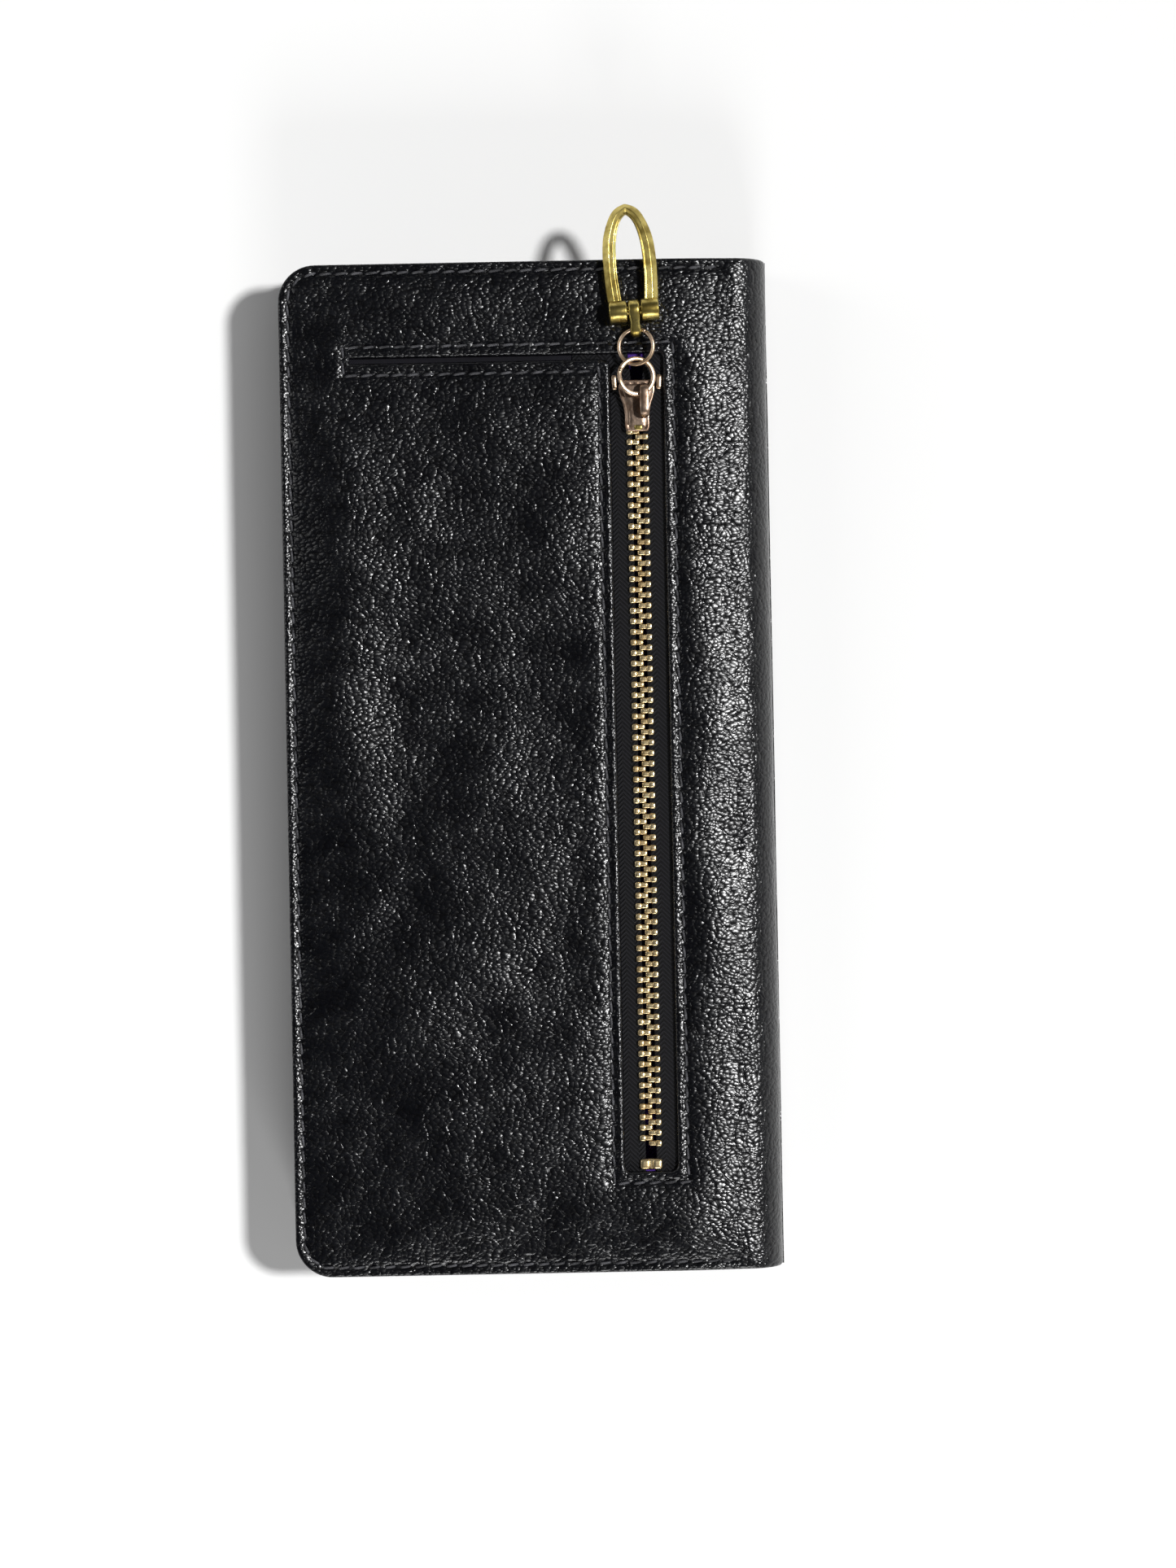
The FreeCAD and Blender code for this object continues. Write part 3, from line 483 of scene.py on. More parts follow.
def surface(outer, holes, rows, spacing, margin):
    """Triangles over an outline with holes: loop points first, then rows, then a grid."""
    loops = [outer] + list(holes)
    boundary = np.vstack(loops)
    low_corner = outer.min(0)
    high_corner = outer.max(0)
    xs = np.arange(low_corner[0] + spacing / 2, high_corner[0], spacing)
    ys = np.arange(low_corner[1] + spacing / 2, high_corner[1], spacing)
    grid = np.array([(x + (spacing / 2 if j % 2 else 0), y) for j, y in enumerate(ys) for x in xs])
    sets = []
    if len(rows):
        sets.append((np.asarray(rows), ROW_CLEAR))
    if len(grid):
        sets.append((grid, margin))
    kept = []
    for points, clear in sets:
        good = inside(points, outer)
        for hole in holes:
            good &= ~inside(points, hole)
        points = points[good]
        near = np.full(len(points), 1e9)
        for loop in loops:
            near = np.minimum(near, distance_to(points, np.vstack((loop, loop[:1]))))
        points = points[near > clear]
        if kept and len(points):
            tree = np.vstack(kept)
            keep = np.ones(len(points), bool)
            for begin in range(0, len(points), BLOCK):
                block = points[begin:begin + BLOCK]
                gaps = np.linalg.norm(block[:, None, :] - tree[None, :, :], axis=2).min(1)
                keep[begin:begin + BLOCK] = gaps > margin * 0.75
            points = points[keep]
        kept.append(points)
    everything = np.vstack([boundary] + kept)
    edges = []
    count = 0
    for loop in loops:
        edges += [(count + i, count + (i + 1) % len(loop)) for i in range(len(loop))]
        count += len(loop)
    result = geometry.delaunay_2d_cdt(
        [Vector(point) for point in everything], edges, [], 0, 1e-6, True
    )
    places = np.array([tuple(v) for v in result[0]])
    origin = [ids[0] if ids else -1 for ids in result[3]]
    triangles = np.array(result[2])
    centres = places[triangles].mean(1)
    good = inside(centres, outer)
    for hole in holes:
        good &= ~inside(centres, hole)
    triangles = triangles[good]
    lookup = np.array(origin)
    if (lookup < 0).any():
        raise RuntimeError("an outline crosses itself")
    triangles = lookup[triangles]
    flip = np.cross(
        everything[triangles[:, 1]] - everything[triangles[:, 0]],
        everything[triangles[:, 2]] - everything[triangles[:, 0]],
    ) < 0
    triangles[flip] = triangles[flip][:, ::-1]
    return everything, triangles


def slab(outer, holes, bottom, top, edge, spacing=4.0, rows=(), lift=None, square=None,
         edge_low=None, margin=None, rings=4):
    """Sheet between two heights with rounded edges: (points, faces, sharp flags).

    lift(points) raises the top face; square(loop) says how square an edge stays at each of its
    points, from 0 to 1.
    """
    edge_low = edge if edge_low is None else edge_low
    outer = outer if signed_area(outer) > 0 else outer[::-1]
    holes = [hole if signed_area(hole) < 0 else hole[::-1] for hole in holes]
    loops = [outer] + holes
    keep = [np.ones(len(loop)) if square is None else 1.0 - square(loop) for loop in loops]
    steps = [math.pi / 2 * k / rings for k in range(rings, -1, -1)]
    top_loops = [inset(loop, edge * share) for loop, share in zip(loops, keep)]
    flat, triangles = surface(
        top_loops[0], top_loops[1:], rows, spacing, margin or 0.45 * spacing
    )
    border = sum(len(loop) for loop in loops)
    raised = lift(flat) if lift is not None else np.zeros(len(flat))
    points = [np.column_stack((flat, top + raised))]
    faces = [tuple(face) for face in triangles]
    previous = np.arange(border)
    total = len(flat)
    sharp = [np.zeros(len(flat), bool)]
    share_all = np.concatenate(keep)

    def ring(heights, loops_at, squared):
        nonlocal total, previous
        flat_ring = np.vstack(loops_at)
        points.append(np.column_stack((flat_ring, heights)))
        sharp.append(squared)
        current = np.arange(total, total + border)
        start = 0
        for loop in loops:
            count = len(loop)
            for i in range(count):
                j = (i + 1) % count
                faces.append((previous[start + i], current[start + i],
                              current[start + j], previous[start + j]))
            start += count
        previous = current
        total += border

    squared = share_all < 0.5
    sharp[0][:border] = squared
    for angle in steps[1:]:
        out = [inset(loop, edge * (1 - math.cos(angle)) * share) for loop, share in zip(loops, keep)]
        height = top - edge * (1 - math.sin(angle)) + raised[:border] * math.sin(angle)
        ring(height, out, squared)
    for angle in steps[::-1]:
        out = [inset(loop, edge_low * (1 - math.cos(angle)) * share)
               for loop, share in zip(loops, keep)]
        height = np.full(border, bottom + edge_low * (1 - math.sin(angle)))
        ring(height, out, squared)
    inner = flat[border:]
    points.append(np.column_stack((inner, np.full(len(inner), bottom))))
    sharp.append(np.zeros(len(inner), bool))
    lookup = np.concatenate((previous, np.arange(total, total + len(inner))))
    faces += [(lookup[a], lookup[c], lookup[b]) for a, b, c in triangles]
    return np.vstack(points), faces, np.concatenate(sharp)


def swept(path, across, up, section):
    """Tube along 3-D points; across and up are its half sizes, one number or one at each point."""
    path = np.asarray(path, float)
    count = len(path)
    ahead = np.gradient(path, axis=0)
    ahead /= np.linalg.norm(ahead, axis=1)[:, None]
    side_size, up_size = (np.broadcast_to(np.asarray(v, float), (count,)) for v in (across, up))
    reference = np.array((0.0, 0.0, 1.0))
    if abs(ahead[:, 2]).max() > 0.95:
        reference = np.array((1.0, 0.0, 0.0))
    side = np.cross(ahead, reference)
    side /= np.linalg.norm(side, axis=1)[:, None]
    rise = np.cross(side, ahead)
    points = []
    for i in range(count):
        for k in range(section):
            angle = 2 * math.pi * k / section
            points.append(path[i] + side[i] * side_size[i] * math.cos(angle)
                          + rise[i] * up_size[i] * math.sin(angle))
    return np.array(points), banded(count, section, inward=True)


def raised_on(points, height):
    """2-D points lifted to a height."""
    return np.column_stack((points, np.broadcast_to(height, (len(points),))))


# ------------------------------------------------------------------ outer leather

STITCH_INSET = 1.75
STITCH_PITCH = 2.9
EDGE_ROUND = 0.75
FLAT_END = FOLD + BEND * math.pi / 2 + (TOP / 2 - BEND)
STITCH_END = FOLD - 1.5

EDGE_LINE = rounded_loop([
    (STITCH_END + 20, -REACH + STITCH_INSET),
    (STITCH_END + 20, REACH - STITCH_INSET),
    (-EDGE + STITCH_INSET, REACH - STITCH_INSET, CORNER - STITCH_INSET),
    (-EDGE + STITCH_INSET, -REACH + STITCH_INSET, CORNER - STITCH_INSET),
], 0.6)
# the run up the spine side is dropped, which leaves an open line round the three sewn sides
EDGE_LINE = np.array([p for p in EDGE_LINE if p[0] < STITCH_END])

WINDOW_LEFT = ZIP_X - WINDOW_HALF
WINDOW_RIGHT = ZIP_X + WINDOW_HALF
SEAM_LEFT = WINDOW_LEFT - 2.1
SEAM_RIGHT = WINDOW_RIGHT + 2.0
SEAM_FOOT = WINDOW_LOW - 2.1
SEAM_HEAD = (SLIT_LOW + WINDOW_HIGH) / 2 + 2.5
SEAM_UNDER = (SLIT_LOW + WINDOW_HIGH) / 2 - 2.8
SEAM_END = SLIT_LEFT - 1.2
WINDOW_LINE = filled([
    (SEAM_END, SEAM_UNDER), (SEAM_LEFT, SEAM_UNDER), (SEAM_LEFT, SEAM_FOOT),
    (SEAM_RIGHT, SEAM_FOOT), (SEAM_RIGHT, SEAM_HEAD), (SEAM_END, SEAM_HEAD),
    (SEAM_END, SEAM_UNDER),
], 0.6)


def along(line, points):
    """How far along a polyline the nearest place to each point is."""
    best = np.full(len(points), 1e9)
    spot = np.zeros(len(points))
    done = 0.0
    for start, end in zip(line[:-1], line[1:]):
        run = end - start
        length = np.linalg.norm(run)
        share = np.clip(((points - start) @ run) / max(length * length, 1e-9), 0, 1)
        gap = points - start - share[:, None] * run
        distance = np.hypot(gap[:, 0], gap[:, 1])
        nearer = distance < best
        best[nearer] = distance[nearer]
        spot[nearer] = done + share[nearer] * length
        done += length
    return best, spot


CHANNEL_HALF = 0.5
OUTER_CHANNEL = 0.34
PANEL_CHANNEL = 0.15


def channel(points, line, depth):
    """Sunken line under stitches, deepest at the needle holes, and each point's distance from it."""
    near, spot = along(line, points)
    holes = 0.72 + 0.28 * np.cos(2 * math.pi * spot / STITCH_PITCH)
    return -depth * holes * np.exp(-((near / CHANNEL_HALF) ** 2)), near


def swell(points, seed, size, amount):
    """Soft uneven swelling of hide that isn't glued flat."""
    return amount * np.array([
        noise.noise(Vector((x / size, y / size, seed))) for x, y in points
    ])


# soft mounds where the contents press out: middle x and y, half widths, height
MOUNDS = (
    (-35.0, 18.0, 9.0, 34.0, 1.0),
    (-20.0, -48.0, 14.0, 30.0, 1.0),
    (-12.0, 62.0, 16.0, 8.0, 0.5),
    (30.0, -48.0, 6.0, 42.0, 0.5),
)
FALL = 1.1
FALL_START = 25.0
FREE_REACH = 7.0


def fall_at(u):
    """How far the front has fallen where it nears the crease of the spine."""
    fall = np.clip((u - FALL_START) / (FOLD - FALL_START), 0, 1) ** 2
    return FALL * fall * np.clip((FLAT_END - 1 - u) / (FLAT_END - 1 - FOLD), 0, 1)


def settled(points):
    """The whole thickness falls away towards the crease."""
    points = np.array(points, float)
    points[:, 2] -= fall_at(points[:, 0])
    return points


def pillow(distance, reach, height):
    """Rises from a seam and levels out at a reach from it."""
    return height * (1 - (1 - np.clip(distance / reach, 0, 1)) ** 2)


def front_lift(points):
    """Height of the front leather above its flat pattern."""
    edge, near_edge = channel(points, EDGE_LINE, OUTER_CHANNEL)
    seam, near_seam = channel(points, WINDOW_LINE, OUTER_CHANNEL)
    free = np.clip(np.minimum(near_edge, near_seam) / FREE_REACH, 0, 1)
    wave = swell(points, 1.7, 26.0, 1.0) + swell(points, 5.1, 11.0, 0.3)
    for x, y, half_x, half_y, height in MOUNDS:
        wave += height * np.exp(-((points[:, 0] - x) / half_x) ** 2
                                - ((points[:, 1] - y) / half_y) ** 2)
    flat_part = np.clip((FOLD + 4 - points[:, 0]) / 6.0, 0, 1)
    wave *= free * (0.15 + 0.85 * flat_part)
    dome = pillow(near_edge, 12.0, 0.55) + pillow(near_seam, 5.0, 0.12) - 0.62
    return edge + seam + (dome + 0.2) * flat_part - 0.2 + wave


def back_lift(points):
    """The same for the back leather, which has only its edge seam and never stands proud."""
    edge, near = channel(points, EDGE_LINE, OUTER_CHANNEL)
    panel = np.clip(near / FREE_REACH, 0, 1)
    dome = 0.3 * (1 - (1 - panel) ** 2)
    wave = swell(points, 9.3, 30.0, 0.18) * panel
    return np.minimum(edge + dome + wave - 0.36, -0.02)


def wrapped(points):
    """Flat pattern bent down round the spine: past the fold it follows the quarter ring."""
    points = np.array(points, float)
    u, height = points[:, 0].copy(), points[:, 2] - TOP
    over = u > FOLD
    angle = np.clip((u - FOLD) / BEND, 0, math.pi / 2)
    beyond = np.clip(u - FOLD - BEND * math.pi / 2, 0, None)
    x = FOLD + (BEND + height) * np.sin(angle)
    z = TOP - BEND + (BEND + height) * np.cos(angle) - beyond
    points[over, 0] = x[over]
    points[over, 2] = z[over]
    return points


def turned_over(points, faces):
    """Mirror image through the wallet's middle height, for the back half."""
    points = np.array(points, float)
    points[:, 2] = TOP - points[:, 2]
    return points, [tuple(face)[::-1] for face in faces]


def seam_side(loop):
    """The edge in the middle of the spine, where front and back leather meet, stays square."""
    return (loop[:, 0] > FLAT_END - 0.01).astype(float)


cover_outline = rounded_loop([
    (-EDGE, -REACH, CORNER), (FLAT_END, -REACH), (FLAT_END, REACH), (-EDGE, REACH, CORNER)
])
window_outline = rounded_loop([
    (WINDOW_LEFT, WINDOW_LOW, 1.2), (WINDOW_LEFT, SLIT_LOW, 1.4), (SLIT_LEFT, SLIT_LOW, 0.3),
    (SLIT_LEFT, WINDOW_HIGH, 0.3), (WINDOW_RIGHT, WINDOW_HIGH, 1.0),
    (WINDOW_RIGHT, WINDOW_LOW, 1.2),
], 1.0)
SEAM_ROWS = (-1.0, -0.5, -0.25, 0.0, 0.25, 0.5, 1.0)
edge_rows = beside(EDGE_LINE, SEAM_ROWS, STITCH_PITCH / 4)
window_rows = beside(WINDOW_LINE, SEAM_ROWS, STITCH_PITCH / 4)

points, faces, sharp = slab(
    cover_outline, [window_outline], TOP - COVER, TOP, EDGE_ROUND, 2.2,
    np.vstack((edge_rows, window_rows)), front_lift, seam_side, 0.25,
)
skin_front = make("skin_front", wrapped(settled(points)), faces, OUTER, None,
                  ("front_cover_leather", "spine_leather"), sharp=sharp)
points, faces, sharp = slab(
    cover_outline, [], TOP - COVER, TOP, EDGE_ROUND, 2.6, edge_rows, back_lift, seam_side, 0.25,
)
points, faces = turned_over(wrapped(points), faces)
skin_back = make("skin_back", points, faces, OUTER, None,
                 ("back_cover_leather",), sharp=sharp)


def across_upper(piece):
    """Bakes the piece's placing into its mesh; the piece lies across the crease between the spine and
    the front half.
    """
    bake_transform(piece)


def across_lower(piece):
    """Bakes the piece's placing into its mesh; the piece lies across the crease between the back half
    and the spine.
    """
    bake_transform(piece)


across_upper(skin_front)
across_lower(skin_back)

# ------------------------------------------------------------------ stitches


STITCH_LENGTH = 2.25
STITCH_SLANT = 7.0
THREAD_HALF = 0.24
STITCH_RISE = 0.36
STITCH_DIP = 0.2


def stitches(name, line, height_of, body, over=False, nodes=()):
    """Row of thread stitches lying along a line, each dipping into its needle holes."""
    steps = np.linalg.norm(np.diff(line, axis=0), axis=1)
    places = np.concatenate(((0,), np.cumsum(steps)))
    count = max(1, int(round(places[-1] / STITCH_PITCH)))
    real = places[-1] / count
    shares = np.linspace(-1, 1, 7)
    parts = []
    for index in range(count):
        middle = (index + 0.5) * real
        centre = np.array([np.interp(middle, places, line[:, k]) for k in (0, 1)])
        later = np.array([np.interp(middle + 0.4, places, line[:, k]) for k in (0, 1)])
        turn = math.atan2(later[1] - centre[1], later[0] - centre[0])
        turn += math.radians(STITCH_SLANT + 5 * noise.noise(Vector((index * 0.7, 3.1, 0.0))))
        ahead = np.array((math.cos(turn), math.sin(turn)))
        flat = centre + np.outer(shares * STITCH_LENGTH / 2, ahead)
        ground = height_of(flat.mean(0)[None, :])[0]
        rise = ground + STITCH_RISE * (1 - shares ** 4) - STITCH_DIP * shares ** 4
        path = np.column_stack((flat, rise))
        size = THREAD_HALF * (1 - 0.35 * shares ** 4)
        parts.append(swept(path, size * 1.05, size * 0.85, section=7))
    points, faces = joined(parts)
    if over:
        points, faces = turned_over(points, faces)
    make(name, points, faces, THREAD, body, nodes)


def front_ground(points):
    """Height of the finished front leather."""
    return TOP + front_lift(points) - fall_at(points[:, 0])


stitches("front_edge_stitches", EDGE_LINE, front_ground, "front_half",
         nodes=("front_edge_stitching",))
stitches("window_stitches", WINDOW_LINE, front_ground, "front_half", nodes=("window_stitching",))
stitches("back_edge_stitches", EDGE_LINE, lambda p: TOP + back_lift(p) - 0.1, "back_half",
         nodes=("back_edge_stitching",), over=True)

# ------------------------------------------------------------------ layers of the two halves


LEAF_STEP = 2.5


def leaf_outline(left, right, reach, radius):
    """Rectangle with its open-edge corners rounded."""
    return rounded_loop(
        [(left, -reach, radius), (right, -reach), (right, reach), (left, reach, radius)], LEAF_STEP
    )


def frame_outline(left, right, reach, radius, width):
    """Three-sided band open towards the spine."""
    inner = max(radius - width, 1.0)
    return rounded_loop([
        (left, -reach, radius), (right, -reach), (right, -reach + width),
        (left + width, -reach + width, inner), (left + width, reach - width, inner),
        (right, reach - width), (right, reach), (left, reach, radius),
    ], LEAF_STEP)


def node_levels(node):
    return low(node)[2], high(node)[2]


def layer(node, outline, material, body, edge, holes=(), lift=None, rows=(), spacing=5.0,
          up=True, also=(), nodes=()):
    """Sheet that stands for a CAD node, between that node's own heights."""
    bottom, top = node_levels(node)
    if not up:
        bottom, top = TOP - top, TOP - bottom
    points, faces, _ = slab(outline, list(holes), bottom, top, edge, spacing, rows, lift)
    if not up:
        points, faces = turned_over(points, faces)
    points, faces = joined([(points, faces), *also])
    return make(node + "_piece", points, faces, material, body, (node, *nodes))


CLOTH = 0.4
LINING_TURN_OUT = 0.75
LINING_TURN_ROWS = 70
LINING_GAP = 0.1
LINING_LAP = 0.3


def lining_wall():
    """The front lining's turn up the spine side of the coin pocket, to the cover."""
    bottom = low("front_lining")[2]
    top = TOP - COVER - LINING_GAP
    reach = high("front_lining")[1] - 0.4
    levels = 9
    points = []
    ys = np.linspace(-reach, reach, LINING_TURN_ROWS)
    for y in ys:
        ripple = 0.12 * noise.noise(Vector((y / 9.0, 0.0, 2.2))) - 0.25
        profile = []
        for number in range(levels):
            share = number / (levels - 1)
            x = INNER + LINING_TURN_OUT + ripple * math.sin(math.pi * share)
            z = bottom + LINING_LAP + (top - bottom - LINING_LAP) * share
            profile.append((x, y, z))
        points += profile + [(x - CLOTH, y, z) for x, y, z in profile[::-1]]
    return points, banded(len(ys), 2 * levels, inward=True)


STRIP_IN = 0.25
STRIP_WIDTH = 3.2
STRIP_EDGE = 0.9
CREASE_IN = 1.6
CREASE_HALF = 0.3
CREASE_DEPTH = 0.16
INNER_STITCH_SINK = 0.24


def level_of(node, up):
    """Height of a node's inner face above the outer face of its own half."""
    return high(node)[2] if up else TOP - low(node)[2]


def pocket_panel(side, body, up):
    """Panel sewn on three sides to the turned edge; gives back the line of its stitches."""
    line = np.array([p for p in EDGE_LINE if p[0] < INNER - 1.0])
    layer(f"{side}_pocket_panel", leaf_outline(-EDGE, INNER, REACH, CORNER), INNER_HIDE, body,
          0.35, rows=beside(line, (-0.6, 0.0, 0.6), 1.5), up=up,
          lift=lambda p: channel(p, line, PANEL_CHANNEL)[0])
    return line


def edge_strip(side, body):
    """Turned edge between the cover and the panel."""
    node = f"{side}_edge_strip"
    bottom, top = node_levels(node)
    outline = frame_outline(-EDGE + STRIP_IN, INNER, REACH - STRIP_IN, CORNER - STRIP_IN, STRIP_WIDTH)
    edge = min(STRIP_EDGE, (top - bottom) / 2.3)
    points, faces, _ = slab(outline, [], bottom, top, edge, 3.0, rings=5)
    make(node + "_piece", points, faces, INNER_HIDE, body, (node,))


def bill_lining(side, body, up):
    """Lining of a bill pocket; the front one also turns up beside the coin pocket."""
    node = f"{side}_lining"
    reach = high(node)[1]
    left = low(node)[0]
    walls = [] if up else [lining_wall()]
    piece = layer(node, leaf_outline(left, INNER, reach, 3.4), LINING, body, 0.15,
                  up=up, also=walls, lift=lambda p: swell(p, 3.3, 18.0, 0.06) - 0.06)


def card_row(node, body, up):
    """Row of card pockets with a creased mouth."""
    mouth, reach = high(node)[:2]
    crease = np.array(((mouth - CREASE_IN, -reach + 1), (mouth - CREASE_IN, reach - 1)))

    def mouth_lift(p):
        near = distance_to(p, crease)
        soft = swell(p, 2.0 + mouth, 22.0, 0.08)
        return soft - 0.08 - CREASE_DEPTH * np.exp(-((near / CREASE_HALF) ** 2))

    layer(node, leaf_outline(low(node)[0], mouth, reach, 6.0), INNER_HIDE, body,
          0.3, lift=mouth_lift, rows=beside(crease, (-0.5, -0.2, 0.0, 0.2, 0.5), 2.0), up=up)


def inner_stitching(side, body, up, line, rows):
    """Stitches seen inside: round the three sewn sides, and between the two columns of pockets."""
    nodes = [f"{side}_pocket_panel"] + rows[::-1]
    levels = [(high(node)[0], level_of(node, up)) for node in nodes]

    def ground(p):
        height = np.zeros(len(p))
        for mouth, level in levels:
            height = np.where(p[:, 0] < mouth, level, height)
        return height - INNER_STITCH_SINK

    stitches(f"{side}_inner_stitches", line, ground, body, over=not up)
    column = filled([(-EDGE + 3.5, 0.0), (high(rows[0])[0] - 2.0, 0.0)], 0.6)
    level = level_of(rows[0], up) - 0.08
    stitches(f"{side}_column_stitches", column, lambda p: np.full(len(p), level), body,
             over=not up, nodes=(f"{side}_slot_stitching",))


for side, count in (("back", 4), ("front", 3)):
    body = f"{side}_half"
    up = side == "back"
    sewn_line = pocket_panel(side, body, up)
    edge_strip(side, body)
    bill_lining(side, body, up)
    rows = [f"{side}_card_row_{number}" for number in range(1, count + 1)]
    for node in rows:
        card_row(node, body, up)
    inner_stitching(side, body, up, sewn_line, rows)

# ------------------------------------------------------------------ lining of the spine

LINING_DROP = TOP - high("spine_lining")[2]
LINING_SHORT = 0.6


def lining_half():
    """Upper half of the spine's lining as a flat strip bent inside the leather."""
    radius = BEND - LINING_DROP
    reach = REACH - LINING_SHORT
    start = INNER - LINING_LAP
    end = FOLD + radius * math.pi / 2 + (TOP / 2 - BEND)
    outline = rounded_loop([(start, -reach), (end, -reach), (end, reach), (start, reach)], 1.2)
    points, faces, _ = slab(outline, [], -CLOTH, 0.0, 0.1, 1.6,
                            lift=lambda p: np.minimum(swell(p, 4.4, 9.0, 0.15) - 0.1, 0.0))
    points = settled(points)
    u, height = points[:, 0], points[:, 2]
    angle = np.clip((u - FOLD) / radius, 0, math.pi / 2)
    beyond = np.clip(u - FOLD - radius * math.pi / 2, 0, None)
    x = np.where(u > FOLD, FOLD + (radius + height) * np.sin(angle), u)
    z = np.where(u > FOLD, TOP - BEND + (radius + height) * np.cos(angle) - beyond,
                 TOP - LINING_DROP + height)
    return np.column_stack((x, points[:, 1], z)), faces, end - start, 2 * reach


points, faces, width, length = lining_half()
upper_lining = make("spine_lining_upper", points, faces, LINING, None,
                    ("spine_lining",))
points, faces = turned_over(points, faces)
lower_lining = make("spine_lining_lower", points, faces, LINING, None)
across_upper(upper_lining)
across_lower(lower_lining)

# the cover leather is turned in over the ends of the spine, in front of the board
TURN_WIDTH = 3.2
TURN_GAP = 0.35
BOARD_GAP = 0.2
turns = []
for end in (-1, 1):
    near, far = sorted((end * (REACH - TURN_WIDTH), end * (REACH - TURN_GAP)))
    outline = rounded_loop([(INNER + 1, near), (FLAT_END, near), (FLAT_END, far), (INNER + 1, far)])
    shape = slab(outline, [], TOP - LINING_DROP, TOP - COVER + 0.05, 0.3, 1.2,
                 square=seam_side)[:2]
    turns.append((wrapped(settled(shape[0])), shape[1]))
points, faces = joined(turns)
across_upper(make("spine_end_turn_upper", points, faces, OUTER, None))
points, faces = turned_over(points, faces)
across_lower(make("spine_end_turn_lower", points, faces, OUTER, None))
board_low, board_high = low("spine_stiffener"), high("spine_stiffener")
board_reach = REACH - TURN_WIDTH - BOARD_GAP
outline = rounded_loop([
    (-board_reach, board_low[2], 1.0), (board_reach, board_low[2], 1.0),
    (board_reach, board_high[2], 1.0), (-board_reach, board_high[2], 1.0),
], 4.0)
points, faces, _ = slab(outline, [], board_low[0] + 0.02, board_high[0] - 0.02, 0.1, 2.0)
points = np.column_stack((points[:, 2], points[:, 0], points[:, 1]))
make("spine_board", points, faces, BOARD_OWN, "spine", ("spine_stiffener",))

# ------------------------------------------------------------------ coin pocket and slip pocket

ZIP_FACE = high("zip_tape_left")[2]
TAPE_THICK = ZIP_FACE - low("zip_tape_left")[2]
TEETH_LOW, TEETH_HIGH = node_levels("zip_teeth_left")
ZIP_HEAD = high("zip_tape_left")[1]
ZIP_FOOT = low("zip_tape_left")[1]
TOOTH_PITCH = 1.98
TOOTH_COUNT = 71
FIRST_LEFT = 68.6
FIRST_RIGHT = FIRST_LEFT - TOOTH_PITCH / 2
SLIDER_TAIL = low("slider_body")[1]
SLIDER_HEAD = high("slider_body")[1]


def box_outline(node, radius=1.0):
    """Rounded rectangle of a node's own extent, seen from above."""
    a, b = low(node), high(node)
    return rounded_loop([(a[0], a[1], radius), (b[0], a[1], radius), (b[0], b[1], radius),
                         (a[0], b[1], radius)], 3.0)


for node, material, slot_name in (
    ("slip_pocket_facing", INNER_HIDE, "inner_leather"),
    ("slip_pocket_backing", LINING, "lining_cloth"),
):
    layer(node, box_outline(node), material, "front_half", 0.08, spacing=6.0,
          lift=lambda p: swell(p, 6.6, 9.0, 0.06) - 0.03)

coin_outline = box_outline("coin_pocket_outer_panel", 2.0)
SLOT_REACH = 76.0
SLOT_HALF = 4.4
SLOT_LEFT, SLOT_RIGHT = ZIP_X - SLOT_HALF, ZIP_X + SLOT_HALF
slot_loop = rounded_loop([(SLOT_LEFT, -SLOT_REACH, 1.0), (SLOT_RIGHT, -SLOT_REACH, 1.0),
                          (SLOT_RIGHT, SLOT_REACH, 1.0), (SLOT_LEFT, SLOT_REACH, 1.0)], 2.0)
outer_panel = layer("coin_pocket_outer_panel", coin_outline, VIOLET, "front_half",
                    0.1, holes=[slot_loop], spacing=4.0,
                    lift=lambda p: np.minimum(swell(p, 7.7, 8.0, 0.1), 0))
WALL_LOW, WALL_HIGH = node_levels("coin_pocket_gusset")
WALL_OUT = 0.15
WALL_IN = 0.55
WALL_CREASE = 0.75


def pocket_wall(levels=9):
    """Closed band that joins the coin pocket's two panels, creased where it folds flat."""
    up = np.arange(levels) / (levels - 1)
    down = 1 - up
    points = []
    for gap, shares in ((WALL_OUT, up), (WALL_IN, down)):
        for share in shares:
            crease = WALL_CREASE * math.sin(math.pi * share)
            loop = inset(coin_outline, gap + crease)
            points.append(raised_on(loop, WALL_LOW + (WALL_HIGH - WALL_LOW) * share))
    return np.vstack(points), banded(2 * levels, len(coin_outline), looped=True)


# the bag is cut in one with its walls
bag = layer("coin_pocket_inner_panel", box_outline("coin_pocket_inner_panel", 2.0), VIOLET,
            "front_half", 0.1, spacing=4.0,
            lift=lambda p: 0.1 + swell(p, 8.8, 10.0, 0.45),
            also=[pocket_wall()], nodes=("coin_pocket_gusset",))

# ------------------------------------------------------------------ the zip


def open_with_slider(piece):
    """Gives the piece a mesh of its own; the tapes already part a little above the slider where they
    are made.
    """
    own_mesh(piece)


TAPE_PART = 0.11
CORD_IN = 0.75
CORD_HALF = 0.55
CORD_SLOPE = 0.45
CORD_RISE = 0.22


